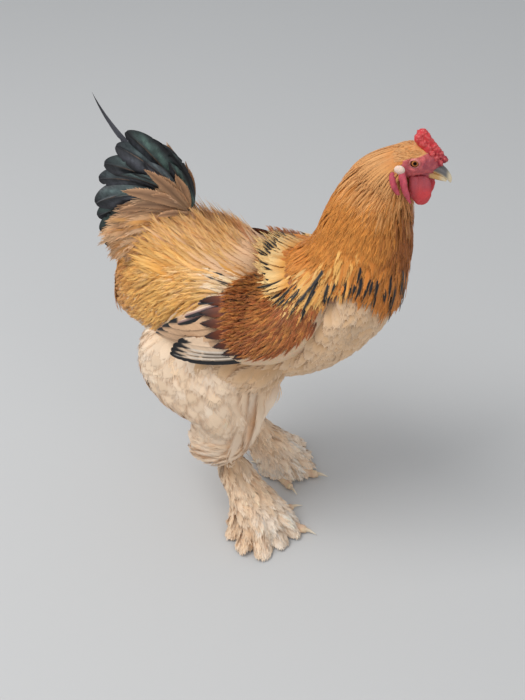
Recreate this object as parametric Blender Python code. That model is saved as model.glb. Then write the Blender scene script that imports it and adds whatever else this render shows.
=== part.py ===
"""A buff Brahma cockerel, life size, standing alert: a still model with no joints.

Metres, +Z up. The bird faces +X and its right side is towards -Y. The origin is on the floor at
the middle of the bird's box. Trunk, head, limbs and toes are lofts through a few named sections.
Feathers are thin tapered vanes, set along those lofts by loops and fused into the node that they
grow from. Left-hand pieces are the right-hand ones mirrored.
"""

import math
import random

import bmesh
import bpy
from mathutils import Matrix, Vector

# Where the middle of the box lies, measured from the point midway between the feet.
BOX_MIDDLE = Vector((-0.0055, 0.0, 0.0))
GAP = 0.0003
SMOOTH_ANGLE = math.radians(50)
SEED = 7
VANE_THICK, FREE_VANE_THICK, VANE_ROOT = 0.0006, 0.0008, 0.004

# How far the left foot trails the right one.
LEFT_FOOT_BACK = 0.012

# Sections of the trunk from rump to nape: x, z, then half sizes to the side, up and down.
TRUNK = [
    (-0.190, 0.350, 0.014, 0.018, 0.022),
    (-0.170, 0.345, 0.043, 0.046, 0.060),
    (-0.124, 0.338, 0.066, 0.071, 0.083),
    (-0.065, 0.330, 0.083, 0.078, 0.087),
    (-0.005, 0.320, 0.091, 0.072, 0.081),
    (0.045, 0.330, 0.087, 0.067, 0.074),
    (0.084, 0.366, 0.071, 0.068, 0.067),
    (0.103, 0.412, 0.052, 0.056, 0.056),
    (0.113, 0.455, 0.039, 0.047, 0.047),
    (0.124, 0.495, 0.030, 0.039, 0.034),
    (0.135, 0.522, 0.022, 0.029, 0.022),
    (0.141, 0.540, 0.015, 0.022, 0.008),
]
RUMP_END, TORSO_END, NECK_END = 3.0, 6.5, 11.0
RINGS_PER_SECTION = 2
TRUNK_SIDES = 20
HEAD_RINGS, HEAD_SIDES = 9, 14
THIGH_RINGS, THIGH_SIDES = 9, 12
BEAK_RINGS, BEAK_SIDES = 6, 10
SHANK_RINGS, SHANK_SIDES = 6, 10
FOLD_RINGS, FOLD_SIDES = 5, 8

# Sections of the head from the back of the skull to the forehead, as for the trunk.
HEAD = [
    (0.127, 0.533, 0.006, 0.006, 0.006),
    (0.132, 0.536, 0.0160, 0.0120, 0.0160),
    (0.144, 0.541, 0.0200, 0.0150, 0.0200),
    (0.157, 0.543, 0.0190, 0.0160, 0.0200),
    (0.169, 0.540, 0.0135, 0.0140, 0.0160),
    (0.177, 0.536, 0.0080, 0.0100, 0.0105),
    (0.181, 0.534, 0.0035, 0.0040, 0.0040),
]
UPPER_BEAK = [
    (0.167, 0.5370, 0.0086, 0.0075, 0.0048),
    (0.176, 0.5345, 0.0074, 0.0070, 0.0046),
    (0.185, 0.5305, 0.0052, 0.0054, 0.0036),
    (0.1915, 0.5250, 0.0027, 0.0034, 0.0026),
    (0.1940, 0.5200, 0.0006, 0.0008, 0.0008),
]
LOWER_BEAK = [
    (0.166, 0.5280, 0.0076, 0.0050, 0.0045),
    (0.175, 0.5260, 0.0062, 0.0050, 0.0038),
    (0.184, 0.5235, 0.0040, 0.0040, 0.0028),
    (0.1895, 0.5210, 0.0012, 0.0012, 0.0010),
]
NOSTRIL = Vector((0.1760, -0.0068, 0.5395))
NOSTRIL_RADIUS, NOSTRIL_SQUASH = 0.0012, (1.8, 1, 1)
EYE = Vector((0.1570, -0.0128, 0.5450))
EYE_RADIUS = 0.0066
LID_RADIUS, LID_THICK, LID_OUT = 0.0056, 0.0013, 0.0050
LID_FACING = Vector((0.12, -1.0, 0.10)).normalized()
LID_AROUND, LID_SIDES = 10, 5

# The pea comb: its base line from forehead to crown, and its three ridges of round bumps.
COMB_FRONT, COMB_BACK = Vector((0.1840, 0.0, 0.5430)), Vector((0.1560, 0.0, 0.5690))
# Its bumps are smaller at the ends. Each ridge has a side shift, a count, a radius and a rise.
COMB_END_SIZE = 0.8
COMB_RIDGES = [(0.0, 5, 0.0055, 0.0055), (0.0064, 4, 0.0048, 0.0005), (-0.0064, 4, 0.0048, 0.0005)]

# The right wattle and ear lobe, each a front fold and a shorter one behind it, in sections from
# the top down: x, y, z, half sizes to the side, front and back.
WATTLE_FOLDS = [
    [
        (0.164, -0.0080, 0.5270, 0.0028, 0.0060, 0.0060),
        (0.165, -0.0112, 0.5185, 0.0034, 0.0115, 0.0105),
        (0.166, -0.0128, 0.5080, 0.0040, 0.0128, 0.0120),
        (0.166, -0.0128, 0.4990, 0.0036, 0.0098, 0.0090),
        (0.165, -0.0124, 0.4935, 0.0012, 0.0030, 0.0030),
    ],
    [
        (0.157, -0.0105, 0.5270, 0.0022, 0.0045, 0.0045),
        (0.157, -0.0135, 0.5180, 0.0026, 0.0070, 0.0050),
        (0.158, -0.0145, 0.5080, 0.0024, 0.0060, 0.0040),
        (0.159, -0.0140, 0.5020, 0.0010, 0.0025, 0.0020),
    ],
]
LOBE_FOLDS = [
    [
        (0.142, -0.0190, 0.5340, 0.0030, 0.0060, 0.0060),
        (0.144, -0.0220, 0.5260, 0.0038, 0.0095, 0.0085),
        (0.148, -0.0222, 0.5140, 0.0036, 0.0085, 0.0075),
        (0.153, -0.0200, 0.5030, 0.0028, 0.0050, 0.0045),
        (0.156, -0.0185, 0.4975, 0.0010, 0.0015, 0.0015),
    ],
    [
        (0.136, -0.0200, 0.5320, 0.0022, 0.0040, 0.0040),
        (0.139, -0.0240, 0.5230, 0.0030, 0.0060, 0.0050),
        (0.143, -0.0245, 0.5130, 0.0028, 0.0050, 0.0045),
        (0.147, -0.0225, 0.5050, 0.0010, 0.0018, 0.0016),
    ],
]
EAR_PATCH = Vector((0.1425, -0.0205, 0.5368))
EAR_PATCH_RADIUS, EAR_PATCH_SQUASH = 0.0055, (1.0, 0.5, 0.8)
MOUTH_SLIT = (0.157, 0.171, 0.0096, 0.030, 0.5306, 0.5315)

# Sections of the comb's base: place along that line, depth under it, half sizes.
COMB_BASE = [
    (0.0, 0.004, 0.0040, 0.003, 0.006),
    (0.5, 0.003, 0.0075, 0.004, 0.008),
    (1.0, 0.004, 0.0050, 0.003, 0.006),
]

# Sections of the right thigh, hip to hock: x, y, z, half sizes to the side, front and back.
THIGH = [
    (-0.050, -0.038, 0.300, 0.030, 0.050, 0.058),
    (-0.062, -0.048, 0.262, 0.043, 0.076, 0.090),
    (-0.060, -0.0505, 0.228, 0.047, 0.072, 0.084),
    (-0.048, -0.0505, 0.191, 0.042, 0.056, 0.044),
    (-0.046, -0.0490, 0.160, 0.034, 0.042, 0.040),
    (-0.047, -0.0480, 0.128, 0.032, 0.034, 0.042),
    (-0.043, -0.0460, 0.106, 0.012, 0.012, 0.016),
]
# The right shank with its sleeve of short feathers, from the hock to the foot.
SHANK = [
    (-0.041, -0.046, 0.112, 0.010, 0.010, 0.012),
    (-0.037, -0.046, 0.092, 0.016, 0.018, 0.021),
    (-0.025, -0.046, 0.058, 0.016, 0.018, 0.021),
    (-0.010, -0.045, 0.028, 0.013, 0.013, 0.016),
    (-0.001, -0.044, 0.013, 0.008, 0.008, 0.009),
]
# Toes of the right foot: reach, heading in degrees from ahead towards the right side, thickness.
TOES = [
    ("middle", 0.064, 8, 0.0066),
    ("inner", 0.044, -38, 0.0058),
    ("outer", 0.046, 46, 0.0058),
    ("hind", 0.024, 165, 0.0050),
]
# Along a toe and a claw: the place and the share of the full radius there.
TOE_SHAPE = ((0.0, 1.0), (0.35, 1.0), (0.7, 0.95), (0.92, 0.8), (1.0, 0.35))
CLAW_SHAPE = ((0.0, 1.0), (0.4, 0.8), (0.75, 0.45), (1.0, 0.12))
# Height of a toe's middle line in radii, under 1 so that its sole is cut flat by the floor.
TOE_ROOT_HEIGHT, TOE_TIP_HEIGHT = 0.9, 0.75
CLAW_LENGTH, CLAW_RADIUS, CLAW_SUNK = 0.014, 0.0032, 0.003
CLAW_RISE, CLAW_DROP = 0.0012, 0.0028
FLOOR = ((-0.1, -0.2, -0.05), (0.15, 0.1, 0.0))
FOOT_HUB = Vector((0.002, -0.044, 0.0075))
HUB_RADIUS, HUB_SQUASH = 0.0115, (1.1, 0.9, 0.85)

# The wing lies on the trunk: for even steps of t, its middle angle, half width and thickness.
WING_FRONT, WING_BACK = 6.4, 2.0
WING_EDGE, WING_SUNK, WING_END_SHIFT = 0.001, 0.004, 0.02
WING_RINGS, WING_ACROSS = 8, 6
WING = [
    (152, 8, 0.0030),
    (158, 26, 0.0100),
    (160, 36, 0.0150),
    (166, 34, 0.0140),
    (183, 26, 0.0100),
    (198, 8, 0.0030),
]

# Neck hackle in tiers, lowest first: how far above the cape's hem the tips end, length in t,
# feathers round the neck, half width, height over the skin, and the arc that they cover.
CAPE_BACK, CAPE_HEM = 1.8, 6.25
CAPE_STRETCH, CAPE_RAGGED, CAPE_MARGIN = 0.3, 0.1, 0.3
CAPE_TIERS = [
    (0.0, 1.60, 13, 0.0145, 0.0026, 360),
    (1.05, 1.40, 10, 0.0135, 0.0052, 360),
    (2.00, 1.15, 8, 0.0125, 0.0076, 320),
    (3.00, 1.10, 4, 0.0120, 0.0040, 180),
]
# Feathers in tiers on the right side: t and angle of the first root, t and angle of its tip, the
# next one's step in t and in angle, how many, half width, height, and how far the tips stand off.
SADDLE_TIERS = [
    (1.75, 128, 0.45, 146, -0.05, 16.0, 5, 0.0125, 0.0026, 0.012),
    (2.45, 112, 0.95, 136, -0.10, 17.0, 4, 0.0125, 0.0052, 0.008),
    (2.90, 108, 1.65, 126, -0.10, 17.0, 3, 0.0115, 0.0076, 0.004),
]
WING_TIERS = [
    (4.60, 184, 2.40, 204, 0.10, 4.5, 4, 0.0095, 0.0022, 0.002),
    (3.90, 156, 2.40, 170, 0.02, 9.0, 4, 0.0110, 0.0036, 0.003),
    (4.60, 150, 3.25, 160, 0.00, 10.0, 4, 0.0110, 0.0058, 0.001),
]
THIGH_TIERS = [
    (1.95, 150, 3.00, 150, 0.0, 27.0, 5, 0.0160, 0.0026, 0.004),
    (4.05, 125, 5.25, 125, 0.0, 40.0, 4, 0.0140, 0.0020, 0.003),
]
SHANK_TIERS = [
    (1.90, 120, 3.35, 122, 0.0, 38.0, 4, 0.0100, 0.0016, 0.012),
    (0.95, 95, 2.35, 97, 0.0, 46.0, 4, 0.0110, 0.0034, 0.006),
]
# Where a laid vane is shaped along its length, on long feathers and on short ones.
LONG, SHORT = (0.0, 0.2, 0.6, 1.0), (0.0, 0.4, 1.0)
# How much further out the upper edge of each laid vane lies, so that they shingle.
VANE_TILT = 0.0020
# Feathers of the right foot: heading in degrees from ahead to the right side, and length.
FOOT_FEATHERS = [(22, 0.060), (46, 0.076), (71, 0.080), (97, 0.068), (124, 0.058)]
FOOT_FEATHER_HALF, FOOT_FEATHER_HEIGHT, FOOT_FEATHER_TIP = 0.0110, 0.0125, 0.0016
FOOT_FEATHER_STEP = 0.0011
# Tail feathers of one side, top one first: rise of the first in degrees, step, and shortest and
# longest length; then the same for the coverts over them.
TAIL_MAIN = (7, 80, 15.0, 0.090, 0.118, 0.0170)
TAIL_COVERTS = (4, 92, 30.0, 0.055, 0.070, 0.0130)
TAIL_ROOT = Vector((-0.098, 0.0, 0.440))
# The tail's core, rising from the rump, in sections as of the trunk.
TAIL_CORE = [
    (-0.080, 0.385, 0.024, 0.022, 0.022),
    (-0.097, 0.425, 0.022, 0.022, 0.024),
    (-0.112, 0.452, 0.019, 0.016, 0.018),
    (-0.122, 0.468, 0.008, 0.006, 0.006),
]
TAIL_RINGS, TAIL_SIDES = 5, 12
# Each fan is flat, turned a little to the rear and up, and its feathers bend down and back.
TAIL_FLARE, TAIL_LEAN = 0.34, 0.12
TAIL_BEND = Vector((-0.25, 0.0, -1.0)) * 0.42
TAIL_PEAK = 0.6
TAIL_HALF, TAIL_LAYER, TAIL_INSET, TAIL_ROOT_DROP = 0.12, 0.0013, 0.003, 0.008
# The sickle: rise of its root in degrees, length and half width.
SICKLE = (22, 0.166, 0.0060)
SICKLE_ABOVE = 0.010
SICKLE_FACE, SICKLE_BEND = Vector((0.35, 0.6, 0.7)), Vector((-0.1, 0.0, 2.2))

CREAM = (0.80, 0.70, 0.54)
GOLD = (0.62, 0.36, 0.12)
CHESTNUT = (0.36, 0.14, 0.05)
BLACK_GREEN = (0.015, 0.030, 0.028)
RED = (0.62, 0.035, 0.030)
WHITE = (0.80, 0.74, 0.68)
HORN = (0.55, 0.47, 0.36)
SKIN = (0.72, 0.42, 0.16)
IRIS = (0.65, 0.24, 0.03)


def blend(rows, t):
    """Catmull-Rom value at t, from 0 to the last row, of a table of numbers."""
    last = len(rows) - 1
    i = min(max(int(t), 0), last - 1)
    f = t - i
    near = [rows[min(max(k, 0), last)] for k in (i - 1, i, i + 1, i + 2)]
    return [
        0.5 * (2 * b + (c - a) * f + (2 * a - 5 * b + 4 * c - d) * f**2 + (3 * b - a - 3 * c + d) * f**3)
        for a, b, c, d in zip(*near)
    ]


class Loft:
    """A round form through sections: centre, then half sizes to the side, up and down."""

    def __init__(self, rows):
        self.rows = [(r[0], 0.0, *r[1:]) if len(r) == 5 else r for r in rows]
        self.last = len(rows) - 1

    def frame(self, t):
        """Centre, direction, side axis, up axis and the three half sizes at t."""
        low, high = max(t - 0.05, 0), min(t + 0.05, self.last)
        ahead = Vector(blend(self.rows, high)[:3]) - Vector(blend(self.rows, low)[:3])
        ahead.normalize()
        side = Vector((0, 1, 0))
        side = (side - side.dot(ahead) * ahead).normalized()
        row = blend(self.rows, t)
        return Vector(row[:3]), ahead, side, ahead.cross(side), row[3:6]

    def point(self, t, angle, out=0.0):
        """Point of the surface at t and an angle in degrees, from the left side up."""
        centre, _, side, up, (wide, high, low) = self.frame(t)
        c, s = math.cos(math.radians(angle)), math.sin(math.radians(angle))
        tall = high if s > 0 else low
        return centre + side * (wide + out) * c + up * (tall + out) * s

    def rings(self, start, end, count, sides, grow=0.0):
        """Points of count rings from start to end; a cutter is grown, other ends stop short."""
        inset = 0.5 * GAP - 1.5 * (grow > 0) * GAP
        rows = []
        for k in range(count + 1):
            t = start + (end - start) * k / count
            shift = self.frame(t)[1] * inset * ((k == 0) - (k == count))
            rows.append([self.point(t, 360 * j / sides, grow) + shift for j in range(sides)])
        return rows

    def mesh(self, start=0.0, end=None, count=12, sides=12, grow=0.0):
        """A closed mesh of the stretch from start to end."""
        return tube(self.rings(start, self.last if end is None else end, count, sides, grow))


def finished(bm):
    """The bmesh as a mesh with its faces pointing out."""
    bmesh.ops.recalc_face_normals(bm, faces=bm.faces)
    mesh = bpy.data.meshes.new("form")
    bm.to_mesh(mesh)
    bm.free()
    return mesh


def tube(rings):
    """A closed mesh through rings of as many points each, split alike on its left and right."""
    bm = bmesh.new()
    rows = [[bm.verts.new(p) for p in ring] for ring in rings]
    for low, high in zip(rows, rows[1:]):
        sides = len(low)
        for j in range(sides):
            n = (j + 1) % sides
            if sides / 4 <= j < 3 * sides / 4:
                bm.faces.new((low[j], low[n], high[j]))
                bm.faces.new((low[n], high[n], high[j]))
            else:
                bm.faces.new((low[j], low[n], high[n]))
                bm.faces.new((low[j], high[n], high[j]))
    for cap in (rows[0], rows[-1]):
        for j in range(1, len(cap) - 1):
            bm.faces.new((cap[0], cap[j], cap[j + 1]))
    return finished(bm)


def ribbon(rows, normals, thick):
    """A thin closed vane through rows of points across it; both faces are split alike."""
    bm = bmesh.new()
    last = len(rows) - 1
    faces = []
    for k, (row, normal) in enumerate(zip(rows, normals)):
        half = normal * thick * (0.5 if k < last else 0.3)
        faces.append(([bm.verts.new(p + half) for p in row], [bm.verts.new(p - half) for p in row]))
    for (top, under), (top_on, under_on) in zip(faces, faces[1:]):
        for m in range(len(top) - 1):
            for side, ahead in ((top, top_on), (under, under_on)):
                bm.faces.new((side[m], side[m + 1], ahead[m + 1]))
                bm.faces.new((side[m], ahead[m + 1], ahead[m]))
        for m in (0, -1):
            bm.faces.new((top[m], top_on[m], under_on[m]))
            bm.faces.new((top[m], under_on[m], under[m]))
    for top, under in (faces[0], faces[-1]):
        for m in range(len(top) - 1):
            bm.faces.new((top[m], top[m + 1], under[m + 1]))
            bm.faces.new((top[m], under[m + 1], under[m]))
    return finished(bm)


def vane_width(u, full, pointed):
    """Half width of a vane at u from root to tip: narrow root, widest past the middle."""
    grow = 0.35 + 0.65 * min(u / 0.4, 1.0)
    start, power = (0.45, 0.8) if pointed else (0.7, 0.5)
    taper = max(1 - max(u - start, 0) / (1 - start), 0) ** power
    return max(full * grow * taper, (0.12 if pointed else 0.5) * full)


def laid_vane(place, start, end, width, level, lift=0.0, grow=0.0, stations=LONG):
    """A vane over a surface from start to end, each a pair of t and angle.

    place(t, angle, out) gives the surface. The root starts below it and the rest lies at level,
    its upper edge a little further out, rising by lift at the tip.
    """
    rows, normals = [], []
    for u in stations:
        t = start[0] + (end[0] - start[0]) * u
        angle = start[1] + (end[1] - start[1]) * u
        out = -VANE_ROOT if u == 0 else level + lift * u * u
        reach = (place(t, angle + 5, out) - place(t, angle - 5, out)).length
        spread = 10 * (vane_width(u, width, True) + grow) / reach
        tilt = VANE_TILT if u > 0 else 0
        row = [place(t, angle + spread, out), place(t, angle - spread, out + tilt)]
        onward = place(t + 0.1, angle, out) - place(t - 0.1, angle, out)
        rows.append([p - onward.normalized() * grow * (u - 0.5) * 2 for p in row])
        normals.append((row[-1] - row[0]).cross(onward).normalized())
    return ribbon(rows, normals, VANE_THICK + 2 * grow)


def free_vane(root, heading, face, length, width, bend, steps=3, pointed=False):
    """A flat vane standing free from its root, its side towards face, turning by bend."""
    place = Vector(root)
    heading = Vector(heading).normalized()
    rows, normals = [], []
    for k in range(steps + 1):
        ahead = (heading + Vector(bend) * k / steps).normalized()
        across = Vector(face).cross(ahead).normalized()
        wide = vane_width(k / steps, width, pointed)
        rows.append([place - across * wide, place + across * wide])
        normals.append(ahead.cross(across).normalized())
        place = place + ahead * length / steps
    return ribbon(rows, normals, FREE_VANE_THICK)


def ball(centre, radius, squash=(1, 1, 1), rings=6):
    """A ball mesh, squashed along the axes."""
    bm = bmesh.new()
    scale = Matrix.Diagonal((*squash, 1))
    bmesh.ops.create_uvsphere(bm, u_segments=2 * rings - 2, v_segments=rings, radius=radius,
                              matrix=Matrix.Translation(centre) @ scale)
    return finished(bm)


def block(low, high):
    """A box mesh between two corners, for cuts."""
    bm = bmesh.new()
    low, high = Vector(low), Vector(high)
    bmesh.ops.create_cube(bm, size=1, matrix=Matrix.Translation((low + high) / 2)
                          @ Matrix.Diagonal((*(high - low), 1)))
    return finished(bm)


def ring(centre, facing, radius, thick):
    """A torus mesh round an axis, as an eyelid has it."""
    turn = Vector(facing).to_track_quat("Z", "Y").to_matrix()
    rows = []
    bm = bmesh.new()
    for k in range(LID_AROUND):
        a = 2 * math.pi * k / LID_AROUND
        outward = turn @ Vector((math.cos(a), math.sin(a), 0))
        axis = turn @ Vector((0, 0, 1))
        rows.append([bm.verts.new(Vector(centre) + outward * (radius + thick * math.cos(b))
                                  + axis * thick * math.sin(b))
                     for b in (2 * math.pi * m / LID_SIDES for m in range(LID_SIDES))])
    for k, row in enumerate(rows):
        ahead = rows[(k + 1) % LID_AROUND]
        for m in range(LID_SIDES):
            n = (m + 1) % LID_SIDES
            bm.faces.new((row[m], row[n], ahead[n], ahead[m]))
    return finished(bm)


def mirrored(mesh):
    """The left-hand twin of a right-hand mesh."""
    twin = mesh.copy()
    twin.transform(Matrix.Diagonal((1, -1, 1, 1)))
    twin.flip_normals()
    return twin


def new_object(name, mesh, collection):
    """An object of the mesh in the collection."""
    piece = bpy.data.objects.new(name, mesh)
    collection.objects.link(piece)
    return piece


def settle(piece):
    """Apply the object's modifiers."""
    bpy.context.view_layer.update()
    graph = bpy.context.evaluated_depsgraph_get()
    old = piece.data
    piece.data = bpy.data.meshes.new_from_object(piece.evaluated_get(graph))
    piece.modifiers.clear()
    bpy.data.meshes.remove(old)


def keep_largest(mesh):
    """Drop all but the largest closed surface of a mesh."""
    bm = bmesh.new()
    bm.from_mesh(mesh)
    bmesh.ops.triangulate(bm, faces=[f for f in bm.faces if len(f.verts) > 4])
    left = set(bm.faces)
    shells = []
    while left:
        stack = [left.pop()]
        shell = list(stack)
        while stack:
            for edge in stack.pop().edges:
                for face in edge.link_faces:
                    if face in left:
                        left.remove(face)
                        stack.append(face)
                        shell.append(face)
        shells.append(shell)
    shells.sort(key=lambda faces: sum(f.calc_area() for f in faces))
    loose = [f for shell in shells[:-1] for f in shell]
    bmesh.ops.delete(bm, geom=loose, context="FACES")
    bm.to_mesh(mesh)
    bm.free()


def combined(mesh, others, operation="UNION"):
    """The mesh joined with the others, or with the others cut away, as one closed surface."""
    if not others:
        return mesh
    piece = new_object("piece", mesh, WORKSHOP)
    operands = bpy.data.collections.new("operands")
    WORKSHOP.children.link(operands)
    for k, other in enumerate(others):
        new_object(f"operand_{k}", other, operands)
    step = piece.modifiers.new("join", "BOOLEAN")
    step.operation = operation
    step.operand_type = "COLLECTION"
    step.collection = operands
    settle(piece)
    for operand in list(operands.objects):
        bpy.data.objects.remove(operand)
    bpy.data.collections.remove(operands)
    result = piece.data
    bpy.data.objects.remove(piece)
    keep_largest(result)
    return result


def node(name, mesh, colour, roughness=0.7):
    """A named part of the bird, in its own material, moved so that the box middle is the origin."""
    mesh.transform(Matrix.Translation(-BOX_MIDDLE))
    mesh.name = name
    piece = new_object(name, mesh, BIRD)
    material = bpy.data.materials.new(name)
    material.use_nodes = True
    shader = material.node_tree.nodes["Principled BSDF"]
    shader.inputs["Base Color"].default_value = (*colour, 1)
    shader.inputs["Roughness"].default_value = roughness
    shader.inputs["Metallic"].default_value = 0.0
    mesh.materials.clear()
    mesh.materials.append(material)
    mesh.shade_smooth()
    mesh.set_sharp_from_angle(angle=SMOOTH_ANGLE)
    return piece


def pair(name, mesh, colour, roughness=0.7, turn=mirrored):
    """A right-hand piece and its left-hand twin."""
    twin = turn(mesh)
    node(f"{name}_right", mesh, colour, roughness)
    node(f"{name}_left", twin, colour, roughness)


for old in list(bpy.data.objects):
    bpy.data.objects.remove(old)
BIRD = bpy.data.collections.new("Brahma cockerel")
WORKSHOP = bpy.data.collections.new("Cutters")
for collection in (BIRD, WORKSHOP):
    bpy.context.scene.collection.children.link(collection)

trunk = Loft(TRUNK)
head = Loft(HEAD)
upper_beak = Loft(UPPER_BEAK)
lower_beak = Loft(LOWER_BEAK)
thigh = Loft(THIGH)
shank = Loft(SHANK)
draw = random.Random(SEED)


def trunk_part(start, end):
    """A length of the trunk between two cuts square to its line."""
    return trunk.mesh(start, end, round(RINGS_PER_SECTION * (end - start)), TRUNK_SIDES)


def trunk_cutter():
    """The whole trunk grown by the gap, with facets like those of its parts."""
    return trunk.mesh(0, NECK_END, round(RINGS_PER_SECTION * NECK_END), TRUNK_SIDES, GAP)


def wing_thickness(t, angle):
    """How far the folded wing stands off the trunk at a place on it."""
    along = (WING_FRONT - t) / (WING_FRONT - WING_BACK) * (len(WING) - 1)
    if not 0 <= along <= len(WING) - 1:
        return 0.0
    middle, half, thick = blend(WING, along)
    across = (angle - middle) / half
    return thick * math.sqrt(max(1 - across**2, 0.0))


def wing_slab(grow):
    """The folded wing's body: a lens over the right side of the trunk, sunk into it."""
    rings = []
    spread = math.degrees(grow / TRUNK[4][2])
    for k in range(WING_RINGS + 1):
        t = WING_FRONT - (WING_FRONT - WING_BACK) * k / WING_RINGS
        middle, half, _ = blend(WING, (len(WING) - 1) * k / WING_RINGS)
        turns = [math.cos(math.pi * j / WING_ACROSS) for j in range(WING_ACROSS + 1)]
        angles = [middle - (half + spread) * turn for turn in turns]
        swells = [WING_EDGE + wing_thickness(t, a) + grow for a in angles]
        t += WING_END_SHIFT * (grow > 0) * ((k == 0) - (k == WING_RINGS))
        outer = [trunk.point(t, a, swell) for a, swell in zip(angles, swells)]
        inner = [trunk.point(t, a, -WING_SUNK) for a in reversed(angles)]
        rings.append(outer + inner)
    return tube(rings)


def tier(place, row, grow=0.0, stations=LONG):
    """The feathers of one tier, each with its places across at the given stations."""
    t_root, a_root, t_tip, a_tip, t_step, a_step, count, wide, level, lift = row
    vanes = []
    for k in range(count):
        start = (t_root + t_step * k, a_root + a_step * k)
        end = (t_tip + t_step * k, a_tip + a_step * k)
        vanes.append(laid_vane(place, start, end, wide, level, lift, grow, stations))
    return vanes


def coat(t, angle, out):
    """A place over the trunk and its wings."""
    return trunk.point(t, angle, out + max(wing_thickness(t, angle), wing_thickness(t, 180 - angle)))


def cape():
    """The neck hackle: tiers of pointed feathers, longest down the back."""
    vanes = []
    for above, length, count, wide, level, arc in CAPE_TIERS:
        for k in range(count):
            angle = 90 + arc * ((k + 0.5) / count - 0.5)
            back = max(math.sin(math.radians(angle)), 0) ** 2
            tip = CAPE_HEM - CAPE_BACK * back + above * (1 + CAPE_STRETCH * back)
            tip += draw.uniform(-CAPE_RAGGED, CAPE_RAGGED)
            root = min(max(tip + length, TORSO_END + CAPE_MARGIN), NECK_END - CAPE_MARGIN)
            vanes.append(laid_vane(coat, (root, angle), (tip, angle), wide, level))
    return vanes


def saddle():
    """The saddle hackle of both sides, flowing back and down over the rump."""
    right = [vane for row in SADDLE_TIERS for vane in tier(trunk.point, row)]
    return right + [mirrored(vane) for vane in right]


def wing_place(t, angle, out):
    """A place over the folded wing."""
    return trunk.point(t, angle, WING_EDGE + wing_thickness(t, angle) + out)


def wing_form(grow=0.0):
    """The right wing with coverts, secondaries and primaries in tiers."""
    vanes = [vane for row in WING_TIERS for vane in tier(wing_place, row, grow)]
    return combined(wing_slab(grow), vanes)


def make_trunk():
    """Rump with saddle hackle, torso, and neck with its cape."""
    tail_cutter = Loft(TAIL_CORE).mesh(count=TAIL_RINGS, sides=TAIL_SIDES, grow=GAP)
    rump = combined(trunk_part(0, RUMP_END), saddle())
    node("rump", combined(rump, [tail_cutter], "DIFFERENCE"), GOLD)
    node("torso", trunk_part(RUMP_END, TORSO_END), CREAM)
    neck = combined(trunk_part(TORSO_END, NECK_END), cape())
    wing = wing_form(GAP)
    cutters = [head.mesh(grow=GAP, count=HEAD_RINGS, sides=HEAD_SIDES), wing, mirrored(wing)]
    for rows in LOBE_FOLDS:
        fold = Loft(rows).mesh(count=FOLD_RINGS, sides=FOLD_SIDES, grow=GAP)
        cutters += [fold, mirrored(fold)]
    neck = combined(neck, cutters, "DIFFERENCE")
    node("neck", neck, GOLD)


def make_wings():
    """Both folded wings, cut to lie on the trunk."""
    pair("wing", combined(wing_form(), [trunk_cutter()], "DIFFERENCE"), CHESTNUT)


def make_head():
    """Head with lids, sockets and mouth crease, then beak, eyes, comb, wattles and ear lobes."""
    upper_cutter = upper_beak.mesh(count=BEAK_RINGS, sides=BEAK_SIDES, grow=GAP)
    lower_cutter = lower_beak.mesh(count=BEAK_RINGS, sides=BEAK_SIDES, grow=GAP)
    lid = ring(EYE + LID_FACING * LID_OUT, LID_FACING, LID_RADIUS, LID_THICK)
    socket = ball(EYE, EYE_RADIUS + GAP)
    skull = combined(head.mesh(count=HEAD_RINGS, sides=HEAD_SIDES), [lid, mirrored(lid)])
    back, front, inner, outer, low, high = MOUTH_SLIT
    slit = block((back, -outer, low), (front, -inner, high))
    cuts = [socket, mirrored(socket), slit, mirrored(slit)]
    skull = combined(skull, [upper_cutter, lower_cutter] + cuts, "DIFFERENCE")
    node("head", skull, RED)

    nostril = ball(NOSTRIL, NOSTRIL_RADIUS, NOSTRIL_SQUASH, 4)
    upper = combined(upper_beak.mesh(count=BEAK_RINGS, sides=BEAK_SIDES), [nostril, mirrored(nostril)],
                     "DIFFERENCE")
    node("beak_upper", upper, HORN, 0.4)
    lower = combined(lower_beak.mesh(count=BEAK_RINGS, sides=BEAK_SIDES),
                     [upper_beak.mesh(count=BEAK_RINGS, sides=BEAK_SIDES, grow=GAP)], "DIFFERENCE")
    node("beak_lower", lower, HORN, 0.4)
    pair("eye", ball(EYE, EYE_RADIUS), IRIS, 0.1)


def make_comb():
    """The pea comb: a low base with three ridges of bumps, cut to sit on the head."""
    run = COMB_BACK - COMB_FRONT
    up = Vector((run.z, 0, -run.x)).normalized()
    bumps = []
    for y, count, radius, rise in COMB_RIDGES:
        for k in range(count):
            u = (k + 0.5) / count
            swell = radius * (COMB_END_SIZE + (1.1 - COMB_END_SIZE) * math.sin(math.pi * u))
            bumps.append(ball(COMB_FRONT + run * u + up * rise + Vector((0, y, 0)), swell, rings=4))
    base = [(*(COMB_FRONT + run * u - up * sunk), *sizes) for u, sunk, *sizes in COMB_BASE]
    comb = combined(Loft(base).mesh(count=4, sides=8), bumps)
    beneath = [head.mesh(count=HEAD_RINGS, sides=HEAD_SIDES, grow=GAP),
               upper_beak.mesh(count=BEAK_RINGS, sides=BEAK_SIDES, grow=GAP)]
    node("comb", combined(comb, beneath, "DIFFERENCE"), RED, 0.5)


def make_thighs():
    """The soft feathered thighs, down to the hocks."""
    vanes = [vane for row in THIGH_TIERS for vane in tier(thigh.point, row, 0, SHORT)]
    right = combined(thigh.mesh(count=THIGH_RINGS, sides=THIGH_SIDES), vanes)
    wing = wing_form(2 * GAP)
    sides = (("left", left_leg(right), mirrored(wing)), ("right", right, wing))
    for name, mesh, over in sides:
        node(f"thigh_{name}", combined(mesh, [trunk_cutter(), over], "DIFFERENCE"), CREAM)


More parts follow.
